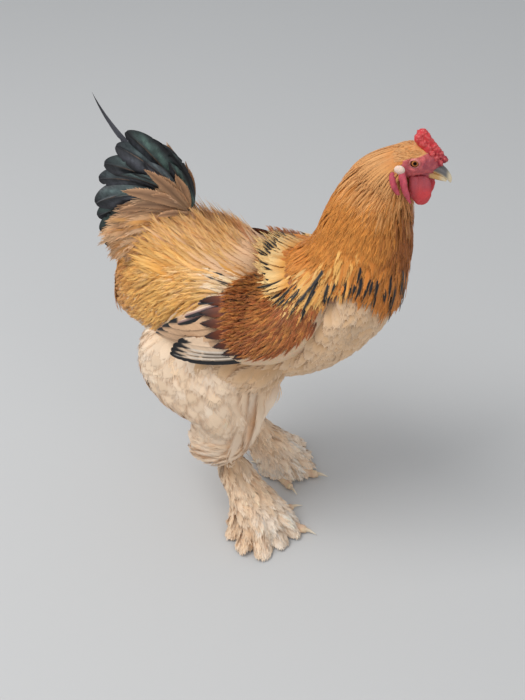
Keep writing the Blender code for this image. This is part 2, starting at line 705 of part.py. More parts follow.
def make_shanks():
    """Shanks in their sleeve of feathers, cut to meet the thigh."""
    vanes = [vane for row in SHANK_TIERS for vane in tier(shank.point, row)]
    mesh = combined(shank.mesh(count=SHANK_RINGS, sides=SHANK_SIDES), vanes)
    mesh = combined(mesh, [thigh.mesh(count=THIGH_RINGS, sides=THIGH_SIDES, grow=GAP)], "DIFFERENCE")
    pair("shank", mesh, CREAM, turn=left_leg)


def left_leg(mesh):
    """The left twin of a leg's mesh, shifted back, more the lower it is, as that foot trails."""
    twin = mirrored(mesh)
    hip, hock = THIGH[0][2], THIGH[-1][2]
    for vertex in twin.vertices:
        share = min(max((hip - vertex.co.z) / (hip - hock), 0), 1)
        vertex.co.x -= LEFT_FOOT_BACK * share**2
    return twin


def toe_and_claw(reach, degrees, radius):
    """One toe, as a mesh, and the loft of its claw."""
    turn = math.radians(degrees)
    ahead = Vector((math.cos(turn), -math.sin(turn), 0))
    start = Vector((FOOT_HUB.x, FOOT_HUB.y, radius * TOE_ROOT_HEIGHT))
    tip = start + ahead * reach
    tip.z = radius * TOE_TIP_HEIGHT
    toe = Loft([(*start.lerp(tip, u), *[radius * size] * 3) for u, size in TOE_SHAPE])
    root = start + ahead * (reach - CLAW_SUNK)
    sections = []
    for u, size in CLAW_SHAPE:
        centre = root + ahead * CLAW_LENGTH * u
        centre.z += CLAW_RISE * math.sin(math.pi * u) - CLAW_DROP * u * u
        sections.append((*centre, *[CLAW_RADIUS * size] * 3))
    return toe.mesh(count=3, sides=6), Loft(sections)


def foot_feathers():
    """Feathers that fan from the foot to the floor on its outer side, the rear ones on top."""
    vanes = []
    for k, (degrees, length) in enumerate(FOOT_FEATHERS):
        turn = math.radians(degrees)
        height = FOOT_FEATHER_HEIGHT - FOOT_FEATHER_STEP * (len(FOOT_FEATHERS) - 1 - k)
        heading = (math.cos(turn), -math.sin(turn), -(height - FOOT_FEATHER_TIP) / length)
        root = Vector((FOOT_HUB.x, FOOT_HUB.y, height))
        vanes.append(free_vane(root, heading, (0, 0, 1), length, FOOT_FEATHER_HALF, (0, 0, 0), 2, True))
    return vanes


def make_feet():
    """Feet of four toes with flat soles, and their claws."""
    pieces, claws = foot_feathers(), []
    for name, reach, degrees, radius in TOES:
        toe, claw = toe_and_claw(reach, degrees, radius)
        pieces.append(toe)
        claws.append((name, claw))
    foot = combined(ball(FOOT_HUB, HUB_RADIUS, HUB_SQUASH, 4), pieces)
    sleeve = shank.mesh(count=SHANK_RINGS, sides=SHANK_SIDES, grow=GAP)
    foot = combined(foot, [block(*FLOOR), sleeve], "DIFFERENCE")
    foot = combined(foot, [claw.mesh(count=4, sides=6, grow=GAP) for _, claw in claws], "DIFFERENCE")
    pair("foot", foot, SKIN, turn=left_leg)
    for name, claw in claws:
        pair(f"claw_{name}", claw.mesh(count=4, sides=6), HORN, 0.4, turn=left_leg)


def tail_fan(side):
    """Main feathers and coverts of one side, in flat layers, the upper ones further out."""
    face = Vector((TAIL_FLARE, side, TAIL_LEAN)).normalized()
    bend = TAIL_BEND - face * face.dot(TAIL_BEND)
    vanes = []
    for layer_zero, (count, first, step, short, long, half) in ((0, TAIL_MAIN), (TAIL_MAIN[0], TAIL_COVERTS)):
        for k in range(count):
            share = k / (count - 1)
            rise = math.radians(first - step * k)
            heading = Vector((-math.cos(rise), 0, math.sin(rise)))
            heading -= face * face.dot(heading)
            root = TAIL_ROOT + Vector((0, side * TAIL_INSET, -TAIL_ROOT_DROP * share))
            root += face * TAIL_LAYER * (layer_zero + count - 1 - k)
            length = short + (long - short) * math.sin(math.pi * share**TAIL_PEAK)
            vanes.append(free_vane(root, heading, face, length, half, bend))
    return vanes


def sickle():
    """The one thin sickle feather that stands up behind the right fan."""
    rise, length, half = SICKLE
    heading = (-math.cos(math.radians(rise)), 0, math.sin(math.radians(rise)))
    root = TAIL_ROOT + Vector((0, -TAIL_INSET, SICKLE_ABOVE))
    return free_vane(root, heading, SICKLE_FACE, length, half, SICKLE_BEND, 5, True)


def make_tail():
    """The tail's two sides, each with a fan, parted down the middle."""
    for name, side in (("right", -1), ("left", 1)):
        vanes = tail_fan(side) + ([sickle()] if name == "right" else [])
        fan = combined(Loft(TAIL_CORE).mesh(count=TAIL_RINGS, sides=TAIL_SIDES), vanes)
        near, far = sorted((side * GAP / 2, -side * TAIL_HALF))
        other_side = block((TAIL_ROOT.x - 0.2, near, 0.2), (TAIL_ROOT.x + 0.2, far, 0.8))
        cuts = [trunk_cutter(), other_side]
        node(f"tail_{name}", combined(fan, cuts, "DIFFERENCE"), BLACK_GREEN, 0.4)


def make_face():
    """Wattles and ear lobes, each of two soft folds, and the pale patch over each lobe."""
    skull = [trunk_cutter(), head.mesh(count=HEAD_RINGS, sides=HEAD_SIDES, grow=GAP)]
    skull += [beak.mesh(count=BEAK_RINGS, sides=BEAK_SIDES, grow=GAP) for beak in (upper_beak, lower_beak)]
    patch = ball(EAR_PATCH, EAR_PATCH_RADIUS + GAP, EAR_PATCH_SQUASH, 5)
    for name, folds in (("wattle", WATTLE_FOLDS), ("ear_lobe", LOBE_FOLDS)):
        front, rear = [Loft(rows).mesh(count=FOLD_RINGS, sides=FOLD_SIDES) for rows in folds]
        pair(name, combined(combined(front, [rear]), skull + [patch], "DIFFERENCE"), RED, 0.5)
    patch = ball(EAR_PATCH, EAR_PATCH_RADIUS, EAR_PATCH_SQUASH, 5)
    pair("ear_patch", combined(patch, skull, "DIFFERENCE"), WHITE)



make_trunk()
make_wings()
make_head()
make_comb()
make_face()
make_tail()
make_thighs()
make_shanks()
make_feet()
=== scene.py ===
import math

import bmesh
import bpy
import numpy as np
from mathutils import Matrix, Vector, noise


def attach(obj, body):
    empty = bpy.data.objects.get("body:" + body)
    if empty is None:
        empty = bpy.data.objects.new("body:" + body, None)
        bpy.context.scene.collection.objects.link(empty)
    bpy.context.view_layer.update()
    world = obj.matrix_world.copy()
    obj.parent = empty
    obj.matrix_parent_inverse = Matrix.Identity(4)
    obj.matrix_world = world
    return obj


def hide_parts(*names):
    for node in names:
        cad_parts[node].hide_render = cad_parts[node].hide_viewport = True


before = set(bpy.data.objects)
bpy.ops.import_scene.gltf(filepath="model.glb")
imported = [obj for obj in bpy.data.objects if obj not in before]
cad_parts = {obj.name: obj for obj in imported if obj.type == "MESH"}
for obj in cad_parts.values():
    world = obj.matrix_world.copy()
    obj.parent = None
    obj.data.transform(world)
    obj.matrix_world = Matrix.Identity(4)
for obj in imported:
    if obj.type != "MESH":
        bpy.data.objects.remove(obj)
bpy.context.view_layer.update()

# Looks of the Brahma cockerel. One skin lies under the coat, and every feather is a mesh of barb
# locks or a broad vane laid along the body's own lofts. Sizes are metres, +Z up, the bird faces +X
# and its right side is towards -Y. Angles round a loft are degrees from the left side up: 90 is
# the back, 180 the right side and 270 the belly. Along the trunk, t rises from rump to head.

AHEAD = 0.0055  # from the point midway between the feet to the middle of the box

# Sections as in the solids: centre, then half sizes to the side, up and down.
TRUNK = [
    (-0.190, 0.350, 0.014, 0.018, 0.022),
    (-0.170, 0.345, 0.043, 0.046, 0.060),
    (-0.124, 0.338, 0.066, 0.071, 0.083),
    (-0.065, 0.330, 0.083, 0.078, 0.087),
    (-0.005, 0.320, 0.091, 0.072, 0.081),
    (0.045, 0.330, 0.087, 0.067, 0.074),
    (0.084, 0.366, 0.071, 0.068, 0.067),
    (0.103, 0.412, 0.052, 0.056, 0.056),
    (0.113, 0.455, 0.039, 0.047, 0.047),
    (0.124, 0.495, 0.030, 0.039, 0.034),
    (0.135, 0.522, 0.022, 0.029, 0.022),
    (0.141, 0.540, 0.015, 0.022, 0.008),
]
HEAD = [
    (0.127, 0.533, 0.006, 0.006, 0.006),
    (0.132, 0.536, 0.0160, 0.0120, 0.0160),
    (0.144, 0.541, 0.0200, 0.0150, 0.0200),
    (0.157, 0.543, 0.0190, 0.0160, 0.0200),
    (0.169, 0.540, 0.0135, 0.0140, 0.0160),
    (0.177, 0.536, 0.0080, 0.0100, 0.0105),
    (0.181, 0.534, 0.0035, 0.0040, 0.0040),
]
THIGH = [
    (-0.050, -0.038, 0.300, 0.030, 0.050, 0.058),
    (-0.062, -0.048, 0.262, 0.043, 0.076, 0.090),
    (-0.060, -0.0505, 0.228, 0.047, 0.072, 0.084),
    (-0.048, -0.0505, 0.191, 0.042, 0.056, 0.044),
    (-0.046, -0.0490, 0.160, 0.034, 0.042, 0.040),
    (-0.047, -0.0480, 0.128, 0.032, 0.034, 0.042),
    (-0.043, -0.0460, 0.106, 0.012, 0.012, 0.016),
]
SHANK = [
    (-0.041, -0.046, 0.112, 0.010, 0.010, 0.012),
    (-0.037, -0.046, 0.092, 0.016, 0.018, 0.021),
    (-0.025, -0.046, 0.058, 0.016, 0.018, 0.021),
    (-0.010, -0.045, 0.028, 0.013, 0.013, 0.016),
    (-0.001, -0.044, 0.013, 0.008, 0.008, 0.009),
]
WING_FRONT, WING_BACK, WING_EDGE = 6.4, 2.0, 0.001
WING = [
    (152, 8, 0.0030),
    (158, 26, 0.0100),
    (160, 36, 0.0150),
    (166, 34, 0.0140),
    (183, 26, 0.0100),
    (198, 8, 0.0030),
]
LEFT_FOOT_BACK = 0.012
COAT_DEPTH = 0.007


def linear(red, green, blue):
    """A colour given as 0 to 255, as linear values."""
    c = np.array([red, green, blue]) / 255.0
    return np.where(c <= 0.04045, c / 12.92, ((c + 0.055) / 1.055) ** 2.4)


def unit(v):
    """Vectors scaled to length one."""
    return v / np.maximum(np.linalg.norm(v, axis=-1, keepdims=True), 1e-9)


class Form:
    """A round form through sections, with places on its surface by t and angle."""

    def __init__(self, rows):
        self.rows = np.array([(r[0], 0.0, *r[1:]) if len(r) == 5 else r for r in rows])
        self.rows[:, 0] += AHEAD
        self.last = len(rows) - 1

    def row(self, t):
        """The smooth section values at t."""
        i = np.clip(np.floor(t).astype(int), 0, self.last - 1)
        f = (t - i)[..., None]
        a, b, c, d = (self.rows[np.clip(i + k, 0, self.last)] for k in (-1, 0, 1, 2))
        return 0.5 * (2 * b + (c - a) * f + (2 * a - 5 * b + 4 * c - d) * f**2
                      + (3 * b - a - 3 * c + d) * f**3)

    def place(self, t, angle, out=0.0):
        """Points of the surface, moved outwards by out."""
        t, angle = np.broadcast_arrays(np.asarray(t, float), np.asarray(angle, float))
        t = np.clip(t, 0, self.last)
        ahead = unit(self.row(np.minimum(t + 0.05, self.last))[..., :3]
                     - self.row(np.maximum(t - 0.05, 0))[..., :3])
        side = unit(np.array([0.0, 1.0, 0.0]) - ahead * ahead[..., 1:2])
        up = np.cross(ahead, side)
        row = self.row(t)
        c, s = np.cos(np.radians(angle)), np.sin(np.radians(angle))
        tall = np.where(s > 0, row[..., 4], row[..., 5])
        out = np.broadcast_to(out, t.shape)
        return (row[..., :3] + side * ((row[..., 3] + out) * c)[..., None]
                + up * ((tall + out) * s)[..., None])


trunk, head, thigh, shank = Form(TRUNK), Form(HEAD), Form(THIGH), Form(SHANK)


def wing_thickness(t, angle):
    """How far the folded wing stands off the trunk."""
    along = (WING_FRONT - t) / (WING_FRONT - WING_BACK) * (len(WING) - 1)
    inside = (along >= 0) & (along <= len(WING) - 1)
    along = np.clip(along, 0, len(WING) - 1)
    middle, half, thick = (np.interp(along, range(len(WING)), [row[k] for row in WING]) for k in range(3))
    across = (angle - middle) / half
    return np.where(inside, thick * np.sqrt(np.maximum(1 - across**2, 0)), 0.0)


def wing_place(t, angle, out=0.0):
    """Places over the folded right wing."""
    return trunk.place(t, angle, WING_EDGE + wing_thickness(t, angle) + out)


def wing_bulk(t, angle):
    """How far the skin stands out beneath both folded wings; the far one is lower on the back."""
    twin = (540 - angle) % 360
    far = wing_thickness(t, twin) * ramp(twin, 138, 154)
    thick = np.maximum(wing_thickness(t, angle), far)
    return thick + 0.005 * ramp(thick, 0.002, 0.008)


def coat_place(t, angle, out=0.0):
    """Places over the trunk with its wing."""
    return trunk.place(t, angle, wing_thickness(t, angle) + out)


def normal(place, t, angle):
    """Outward normals of a surface."""
    round_way = place(t, angle + 2) - place(t, angle - 2)
    return unit(np.cross(round_way, place(t + 0.06, angle) - place(t - 0.06, angle)))


def scatter(place, start, end, spacing, row_step, angles, rng, keep=None):
    """Staggered places on a surface, about spacing apart in rows row_step apart, as t and angle."""
    fine = np.linspace(start, end, 200)
    run = run_along(place(fine, np.full_like(fine, 0.5 * (angles[0] + angles[1]))))
    rows = max(int(run[-1] / row_step), 1)
    around = np.linspace(*angles, 60)
    ts, angs = [], []
    for k in range(rows + 1):
        t = np.interp(run[-1] * k / rows, run, fine)
        reach = run_along(place(np.full(60, t), around))
        count = max(int(reach[-1] / spacing), 1)
        spots = (np.arange(count) + 0.5 * (k % 2) + rng.uniform(-0.28, 0.28, count)) / count
        angs.append(np.interp(np.clip(spots, 0, 1) * reach[-1], reach, around))
        ts.append(t + rng.uniform(-0.3, 0.3, count) * (end - start) / rows)
    t, a = np.clip(np.concatenate(ts), min(start, end), max(start, end)), np.concatenate(angs)
    if keep is None:
        return t, a
    held = keep(t, a)
    return t[held], a[held]


CREAM = linear(230, 196, 160)
CREAM_PALE = linear(244, 216, 186)
CREAM_DARK = linear(200, 160, 120)
BREAST = linear(216, 176, 134)
BUFF_WHITE = linear(248, 230, 208)
AMBER = linear(208, 124, 44)
AMBER_PALE = linear(214, 138, 58)
CROWN = linear(222, 160, 98)
BROWN = linear(156, 84, 32)
BROWN_DARK = linear(112, 56, 22)
STRAW = linear(240, 202, 138)
GOLD = linear(226, 156, 66)
GOLD_PALE = linear(238, 186, 106)
PINK_BUFF = linear(236, 192, 150)
RUSSET = linear(184, 116, 56)
CHESTNUT = linear(146, 68, 28)
CHESTNUT_DARK = linear(84, 38, 18)
CINNAMON = linear(192, 144, 106)
CINNAMON_PALE = linear(216, 174, 134)
UMBER = linear(118, 90, 68)
BLACK = linear(24, 23, 26)
# painted sheen colours: reflections painted on the black tail feathers
PAINTED_SHEEN_TEAL = linear(92, 124, 112)
PAINTED_SHEEN_SLATE = linear(104, 106, 116)
WHITE = linear(240, 232, 220)
MAUVE = linear(160, 126, 118)


def ramp(x, low, high):
    """Zero before low, one after high and smooth between."""
    s = np.clip((np.asarray(x, float) - low) / (high - low), 0, 1)
    return s * s * (3 - 2 * s)


def blunt(u, start, end, power):
    """One up to start, then falling to zero at end."""
    return np.maximum(1 - np.maximum((u - start) / (end - start), 0) ** power, 0)


def round_outline(u):
    """A short rounded feather, widest at two thirds."""
    u = np.clip(u, 0, 1)
    return np.where(u < 0.6, 0.3 + 0.7 * np.sin(np.pi / 2 * u / 0.6), np.sqrt(blunt(u, 0.6, 1.01, 2)))


def pointed_outline(u):
    """A long feather that tapers slowly to a point."""
    u = np.clip(u, 0, 1)
    return np.where(u < 0.35, 0.5 + 0.5 * u / 0.35, np.maximum(blunt(u, 0.35, 1, 1.5), 0.02))


def lance_outline(u):
    """A long covert: widest past the middle, with a blunt point."""
    u = np.clip(u, 0, 1)
    rise = 0.35 + 0.65 * np.sin(np.pi / 2 * u / 0.55)
    return np.where(u < 0.55, rise, np.maximum(blunt(u, 0.55, 1, 2.2), 0.03))


def broad_outline(u):
    """A tail or flight feather: parallel sides and a round end."""
    u = np.clip(u, 0, 1)
    side = 0.3 + 0.7 * np.sqrt(np.clip(u / 0.35, 0, 1))
    return side * np.sqrt(blunt(u, 0.66, 1.005, 2))


def run_along(points):
    """The length of a line of points up to each of them."""
    return np.concatenate([[0], np.cumsum(np.linalg.norm(np.diff(points, axis=0), axis=1))])


def grid(steps, wide):
    """The triangles of steps rows of cells over points that stand wide to a row."""
    faces = []
    for i in range(steps):
        for j in range(wide - 1):
            b = wide * i + j
            faces += [(b, b + 1, b + wide + 1), (b, b + wide + 1, b + wide)]
    return faces


def outward(rows, faces):
    """The template with every triangle facing the feather's upper side."""
    rows, faces = np.array(rows, float), np.array(faces)
    a, b, c = (rows[faces[:, k], :2] for k in range(3))
    turned = (b[:, 0] - a[:, 0]) * (c[:, 1] - a[:, 1]) - (b[:, 1] - a[:, 1]) * (c[:, 0] - a[:, 0]) > 0
    faces[turned] = faces[turned][:, ::-1]
    return rows, faces


def barbed(rng, outline, aspect, web, barbs, barb, slant, stations=6, ragged=0.3, lift=0.12, curl=0.0,
           columns=(1.0, 0.0, -1.0)):
    """A feather with a closed web along the shaft and a fringe of barbs round it. Rows hold u along the
    shaft, v across in half widths, height, edge and shade. aspect is half width over length, and the
    barbs are barb half widths long and lean slant degrees off the shaft."""
    rows, faces = [], []
    end = 1 - 0.85 * barb * aspect
    for u in end * np.linspace(0, 1, stations + 1):
        half = web * outline(u / end)
        for c in columns:
            height = 0.04 * (c == 0) + rng.uniform(-0.3, 0.3) * lift * (c != 0)
            rows.append((u, c * half, height, 0.5 * abs(c), rng.uniform(0.2, 0.8)))
    faces += grid(stations, len(columns))
    edge_u = end * np.linspace(0.04, 1, 80)
    edge_v = web * outline(edge_u / end)
    run = run_along(np.stack([edge_u, edge_v * aspect], axis=1))

    def on_edge(share):
        at = np.clip(share, 0, 1) * run[-1]
        return np.interp(at, run, edge_u), np.interp(at, run, edge_v)

    for side in (1, -1):
        for k in range(barbs):
            share = (k + 0.5) / barbs
            base = len(rows)
            shade = rng.uniform(0, 1)
            up = lift * rng.uniform(-1, 1) - 0.06
            for way in (-0.62, 0.62):
                u, v = on_edge((k + 0.5 + way) / barbs)
                rows.append((u, side * 0.94 * v, 0.0, 0.55, shade))
            u, v = on_edge(share)
            turn = math.radians(slant * (1 - share) ** 0.6 + rng.normal(0, 5))
            c, s = math.cos(turn), math.sin(turn)
            long = barb * (1 + ragged * rng.uniform(-1, 1)) * (0.55 + 0.45 * min(1, 3 * share))
            tip = (u + c * long * aspect, v + s * long)
            if curl:
                bow = curl * rng.uniform(-1, 1)
                mid = (0.5 * (u + tip[0]) - bow * aspect * s, 0.5 * (v + tip[1]) + bow * c)
                thin = 0.3 * run[-1] / barbs
                for way in (-thin, thin):
                    rows.append((mid[0] + way * s, side * (mid[1] - way / aspect * c), 0.5 * up, 0.8, shade))
                faces += [(base, base + 1, base + 3), (base, base + 3, base + 2),
                          (base + 2, base + 3, base + 4)]
            else:
                faces.append((base, base + 1, base + 2))
            rows.append((tip[0], side * tip[1], up, 1.0, shade))
    return outward(rows, faces)


def broad_vane(rng, outline, steps=84, splits=2, ridge=0.06, barbs=44):
    """A broad feather as a grid with a raised shaft, barbs told by shade and a few splits in its edge."""
    rows = []
    half = np.array([0.06, 0.24, 0.44, 0.66, 0.86, 1])
    v = np.concatenate([-half[::-1], [0], half])
    pull = np.zeros((steps + 1, 2))
    for side in (0, 1):
        for _ in range(splits):
            at = rng.integers(steps // 2, steps - 4)
            pull[at:at + 3, side] = rng.uniform(0.08, 0.22) * np.array([0.5, 1.0, 0.4])
    shade = rng.uniform(0, 1, (2 * barbs, 2))
    for i, u in enumerate(np.linspace(0, 1, steps + 1)):
        for across in v:
            side, off = int(across > 0), abs(across)
            wide = outline(u) * (1 - pull[i, side] * off**3)
            swept = u + 0.05 * outline(u) * off * (1 - u)
            barb = int((u + 0.11 * off) * barbs)
            rows.append((swept, across * wide, ridge * (off < 0.01), off, shade[barb, side]))
    return outward(rows, grid(steps, len(v)))


SHAPES = np.random.default_rng(11)
BODY = [barbed(SHAPES, round_outline, 0.28, 0.62, 13, 0.42, 42, lift=0.04) for _ in range(5)]
DOWNY = [barbed(SHAPES, round_outline, 0.3, 0.55, 22, 0.7, 40, 5, 0.4, 0.02, 0.12) for _ in range(6)]
SILK = [barbed(SHAPES, pointed_outline, 0.055, 0.58, 13, 2.4, 11, 8, 0.3, 0.09) for _ in range(6)]
CAPE = [barbed(SHAPES, pointed_outline, 0.072, 0.76, 15, 0.9, 18, 10, 0.3, 0.06,
               columns=(1, 0.52, 0, -0.52, -1)) for _ in range(5)]
BOW = [barbed(SHAPES, pointed_outline, 0.16, 0.5, 11, 1.1, 22, 5, 0.35, 0.2) for _ in range(6)]
TUFT = [barbed(SHAPES, lance_outline, 0.16, 0.5, 13, 1.1, 34, 6, 0.4, 0.14, 0.15) for _ in range(6)]
COVERT = [barbed(SHAPES, lance_outline, 0.11, 0.78, 24, 0.4, 34, 9, 0.35, 0.08) for _ in range(5)]
TINY = [barbed(SHAPES, pointed_outline, 0.13, 0.45, 5, 1.4, 20, 3, 0.3, 0.1) for _ in range(5)]
BROAD = [broad_vane(SHAPES, broad_outline) for _ in range(5)]
LANCE = [broad_vane(SHAPES, lance_outline) for _ in range(4)]


def along(stops, u):
    """Colours along u through stops of place and colour."""
    places = [p for p, _ in stops]
    return np.stack([np.interp(u, places, [c[k] for _, c in stops]) for k in range(3)], axis=-1)


def tinted(palettes, weigh=None, spread=0.08, locks=0.1, rim=None, rim_share=0.5, striped=None,
           stripe_wide=0.38, stripe_at=(0.3, 0.98), deep=0.86, shaft=None):
    """A feather's colours: palettes mixed by place, a rim, a black stripe, chance in each, and painted shade
    towards the root.
    """
    def tint(rng, u, v, edge, shade, t, a):
        looks = np.stack([along(stops, u) for stops in palettes])
        weights = np.ones((len(t), 1)) if weigh is None else weigh(t, a, rng)
        weights = np.clip(weights, 0, 1)
        weights = weights / np.maximum(weights.sum(axis=1, keepdims=True), 1e-6)
        base = np.einsum("nk,kvc->nvc", weights, looks)
        if rim is not None:
            base = base + (rim - base) * (rim_share * np.clip(edge, 0, 1) ** 2)[None, :, None]
        if striped is not None:
            lens = np.sin(np.pi * np.clip((u - stripe_at[0]) / (stripe_at[1] - stripe_at[0]), 0, 1)) ** 0.6
            core = np.clip((stripe_wide * lens + 0.12 - np.abs(v)) / 0.12, 0, 1) * (lens > 0.05)
            base = base + (BLACK - base) * (core[None] * striped(t, a, rng)[:, None])[..., None]
        if shaft is not None:
            base = base + (shaft - base) * (0.7 * (np.abs(v) < 0.02))[None, :, None]
        bright = 1 + spread * np.clip(rng.normal(0, 1, (len(t), 1)), -2, 2)
        bright = bright * (1 + 0.05 * np.sin(2.3 * t + a / 23) * np.sin(a / 11 - 1.7 * t))[:, None]
        # painted shade: by deep, each feather darkens towards its root, where the feathers over it would
        # shade it
        bright = bright * (1 + locks * (2 * shade - 1))[None] * (deep + (1 - deep) * ramp(u, 0, 0.6))[None]
        warm = 1 + np.array([0.0, 0.02, 0.05]) * rng.normal(0, 1, (len(t), 1, 1))
        return base * bright[..., None] * warm
    return tint


class Coat:
    """Feathers gathered into one mesh, with their colours and their patches of the bake map."""

    def __init__(self, seed, left=False):
        self.rng = np.random.default_rng(seed)
        self.left = left
        self.points, self.faces, self.colours, self.maps = [], [], [], []
        self.count = 0

    def add(self, ends, shape, half, tint, t, a, unwrap=None, roll=0.08, cup=0.08, rise=0.12, low=None):
        """Feathers between root and tip places. ends holds both places, both headings and both normals."""
        root, tip, way_root, way_tip, n_root, n_tip = (e[:, None, :] for e in ends)
        u, v, height, edge, shade = shape[0].T
        n = len(root)
        half = np.broadcast_to(half, n)[:, None, None]
        span = np.linalg.norm(tip - root, axis=2, keepdims=True)
        m0 = unit(way_root + n_root * rise) * span
        m1 = unit(way_tip) * span
        s = u[None, :, None]
        line = ((2 * s**3 - 3 * s**2 + 1) * root + (s**3 - 2 * s**2 + s) * m0
                + (-2 * s**3 + 3 * s**2) * tip + (s**3 - s**2) * m1)
        way = unit((6 * s**2 - 6 * s) * root + (3 * s**2 - 4 * s + 1) * m0
                   + (-6 * s**2 + 6 * s) * tip + (3 * s**2 - 2 * s) * m1)
        up = n_root * (1 - s) + n_tip * s
        side = unit(np.cross(way, up))
        up = np.cross(side, way)
        turn = self.rng.normal(0, roll, n)[:, None, None]
        c, s = np.cos(turn), np.sin(turn)
        side, up = side * c + up * s, up * c - side * s
        points = line + side * half * v[None, :, None] + up * half * (height - cup * v * v)[None, :, None]
        if low is not None:
            points[..., 2] = np.maximum(points[..., 2], low)
        self.points.append(points.reshape(-1, 3))
        self.colours.append(tint(self.rng, u, v, edge, shade, t, a).reshape(-1, 3))
        starts = self.count + len(u) * np.arange(n)
        self.faces.append((starts[:, None, None] + shape[1][None]).reshape(-1, 3))
        self.count += n * len(u)
        spots = np.stack((unwrap or body_map)(t, a), axis=1)
        patch = np.stack([0.5 + 0.5 * v, u], axis=1) * 0.003
        self.maps.append((spots[:, None, :] * 0.99 + 0.003 + patch[None]).reshape(-1, 2))

    def grow(self, place, t, a, step, half, shapes, tint, out=0.001, sunk=COAT_DEPTH, **how):
        """Feathers rooted at t and angle that reach step away on the surface, dealt out among the shapes."""
        dt, da = step
        half = half * self.rng.uniform(0.85, 1.15, len(t))
        out = out + self.rng.uniform(-0.0004, 0.0008, len(t))
        deal = self.rng.integers(0, len(shapes), len(t))
        for k, shape in enumerate(shapes):
            mine = deal == k
            if mine.any():
                ends = laid(place, t[mine], a[mine], dt[mine], da[mine], sunk, out[mine])
                self.add(ends, shape, half[mine], tint, t[mine], a[mine], **how)

    def deal(self, ends, shapes, half, tint, t, a, **how):
        """Feathers with the ends given, dealt out in turn among the shapes."""
        for k, shape in enumerate(shapes):
            mine = np.arange(len(t)) % len(shapes) == k
            self.add([e[mine] for e in ends], shape, half, tint, t[mine], a[mine], **how)

    def each(self, ends, shapes, halves, tint, t, a, **how):
        """Feathers with the ends given, each added alone and so with a colour of its own."""
        for k, (half, at) in enumerate(zip(halves, t)):
            one = [e[k:k + 1] for e in ends]
            self.add(one, shapes[k % len(shapes)], half, tint, np.array([at]), np.array([a]), **how)

    def piece(self, name, material, slot, nodes, mirror=None):
        """The gathered feathers as a piece that rides on the bird and stands for the nodes."""
        points = np.concatenate(self.points)
        faces = np.concatenate(self.faces)
        if mirror is not None:
            points = mirror(points)
            faces = faces[:, ::-1]
        mesh = mesh_of(name, points, faces)
        paint(mesh, np.concatenate(self.colours))
        layer = mesh.uv_layers.new(name="OFBake")
        layer.data.foreach_set("uv", np.clip(np.concatenate(self.maps)[faces.ravel()], 0, 1).ravel())
        return dressed(name, mesh, material, nodes)


def body_map(t, a):
    """A place on the unwrap of the trunk, the wing or the head."""
    return a / 360 % 1, t / 12


def leg_map(t, a):
    """A place on the unwrap of a leg."""
    return a / 360 % 1, t / 7


def pair(share):
    """Weights of two palettes, where share is the second one's."""
    return np.stack([1 - share, share], axis=1)


def mesh_of(name, points, faces):
    """A smooth triangle mesh from arrays."""
    mesh = bpy.data.meshes.new(name)
    mesh.vertices.add(len(points))
    mesh.vertices.foreach_set("co", points.astype(np.float32).ravel())
    mesh.loops.add(3 * len(faces))
    mesh.loops.foreach_set("vertex_index", faces.astype(np.int32).ravel())
    mesh.polygons.add(len(faces))
    mesh.polygons.foreach_set("loop_start", np.arange(0, 3 * len(faces), 3, dtype=np.int32))
    mesh.update(calc_edges=True)
    mesh.shade_smooth()
    return mesh


def paint(mesh, colours):
    """Stores a colour for each point of the mesh."""
    full = np.concatenate([np.clip(colours, 0, 1), np.ones((len(colours), 1))], axis=1)
    mesh.color_attributes.new("Tint", "FLOAT_COLOR", "POINT").data.foreach_set("color", full.ravel())


def dressed(name, mesh, material, nodes=()):
    """An object of the mesh in its material, riding on the bird, standing for the nodes."""
    piece = bpy.data.objects.new(name, mesh)
    bpy.context.scene.collection.objects.link(piece)
    mesh.materials.clear()
    mesh.materials.append(material)
    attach(piece, "root")
    if nodes:
        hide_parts(*nodes)
    return piece


def laid(place, t, a, dt, da, sunk, out):
    """Ends of feathers on a surface, from t and angle to t + dt and angle + da."""
    root = place(t, a, -sunk)
    tip = place(t + dt, a + da, out)
    way_root = unit(place(t + 0.05 * dt, a + 0.05 * da, -sunk) - root)
    way_tip = unit(tip - place(t + 0.93 * dt, a + 0.93 * da, out))
    return root, tip, way_root, way_tip, normal(place, t, a), normal(place, t + dt, a + da)


def lie(place, t, a, length, slant):
    """Steps in t and angle for feathers of a length; slant 0 runs down t and 90 runs on round the form."""
    per_t = np.linalg.norm(place(t + 0.05, a) - place(t - 0.05, a), axis=-1) / 0.1
    per_a = np.linalg.norm(place(t, a + 2) - place(t, a - 2), axis=-1) / 4
    return (-length * np.cos(np.radians(slant)) / np.maximum(per_t, 1e-3),
            length * np.sin(np.radians(slant)) / np.maximum(per_a, 1e-4))


def about(rng, values, share, n):
    """The values, each a little off by chance."""
    return values * rng.uniform(1 - share, 1 + share, n)


def flip(points):
    """The left twin of right-hand points."""
    return points * np.array([1.0, -1.0, 1.0])


def flip_leg(points):
    """The left twin of a leg's points, trailing more the lower it is."""
    twin = flip(points)
    share = np.clip((THIGH[0][2] - twin[:, 2]) / (THIGH[0][2] - THIGH[-1][2]), 0, 1)
    twin[:, 0] -= LEFT_FOOT_BACK * share**2
    return twin


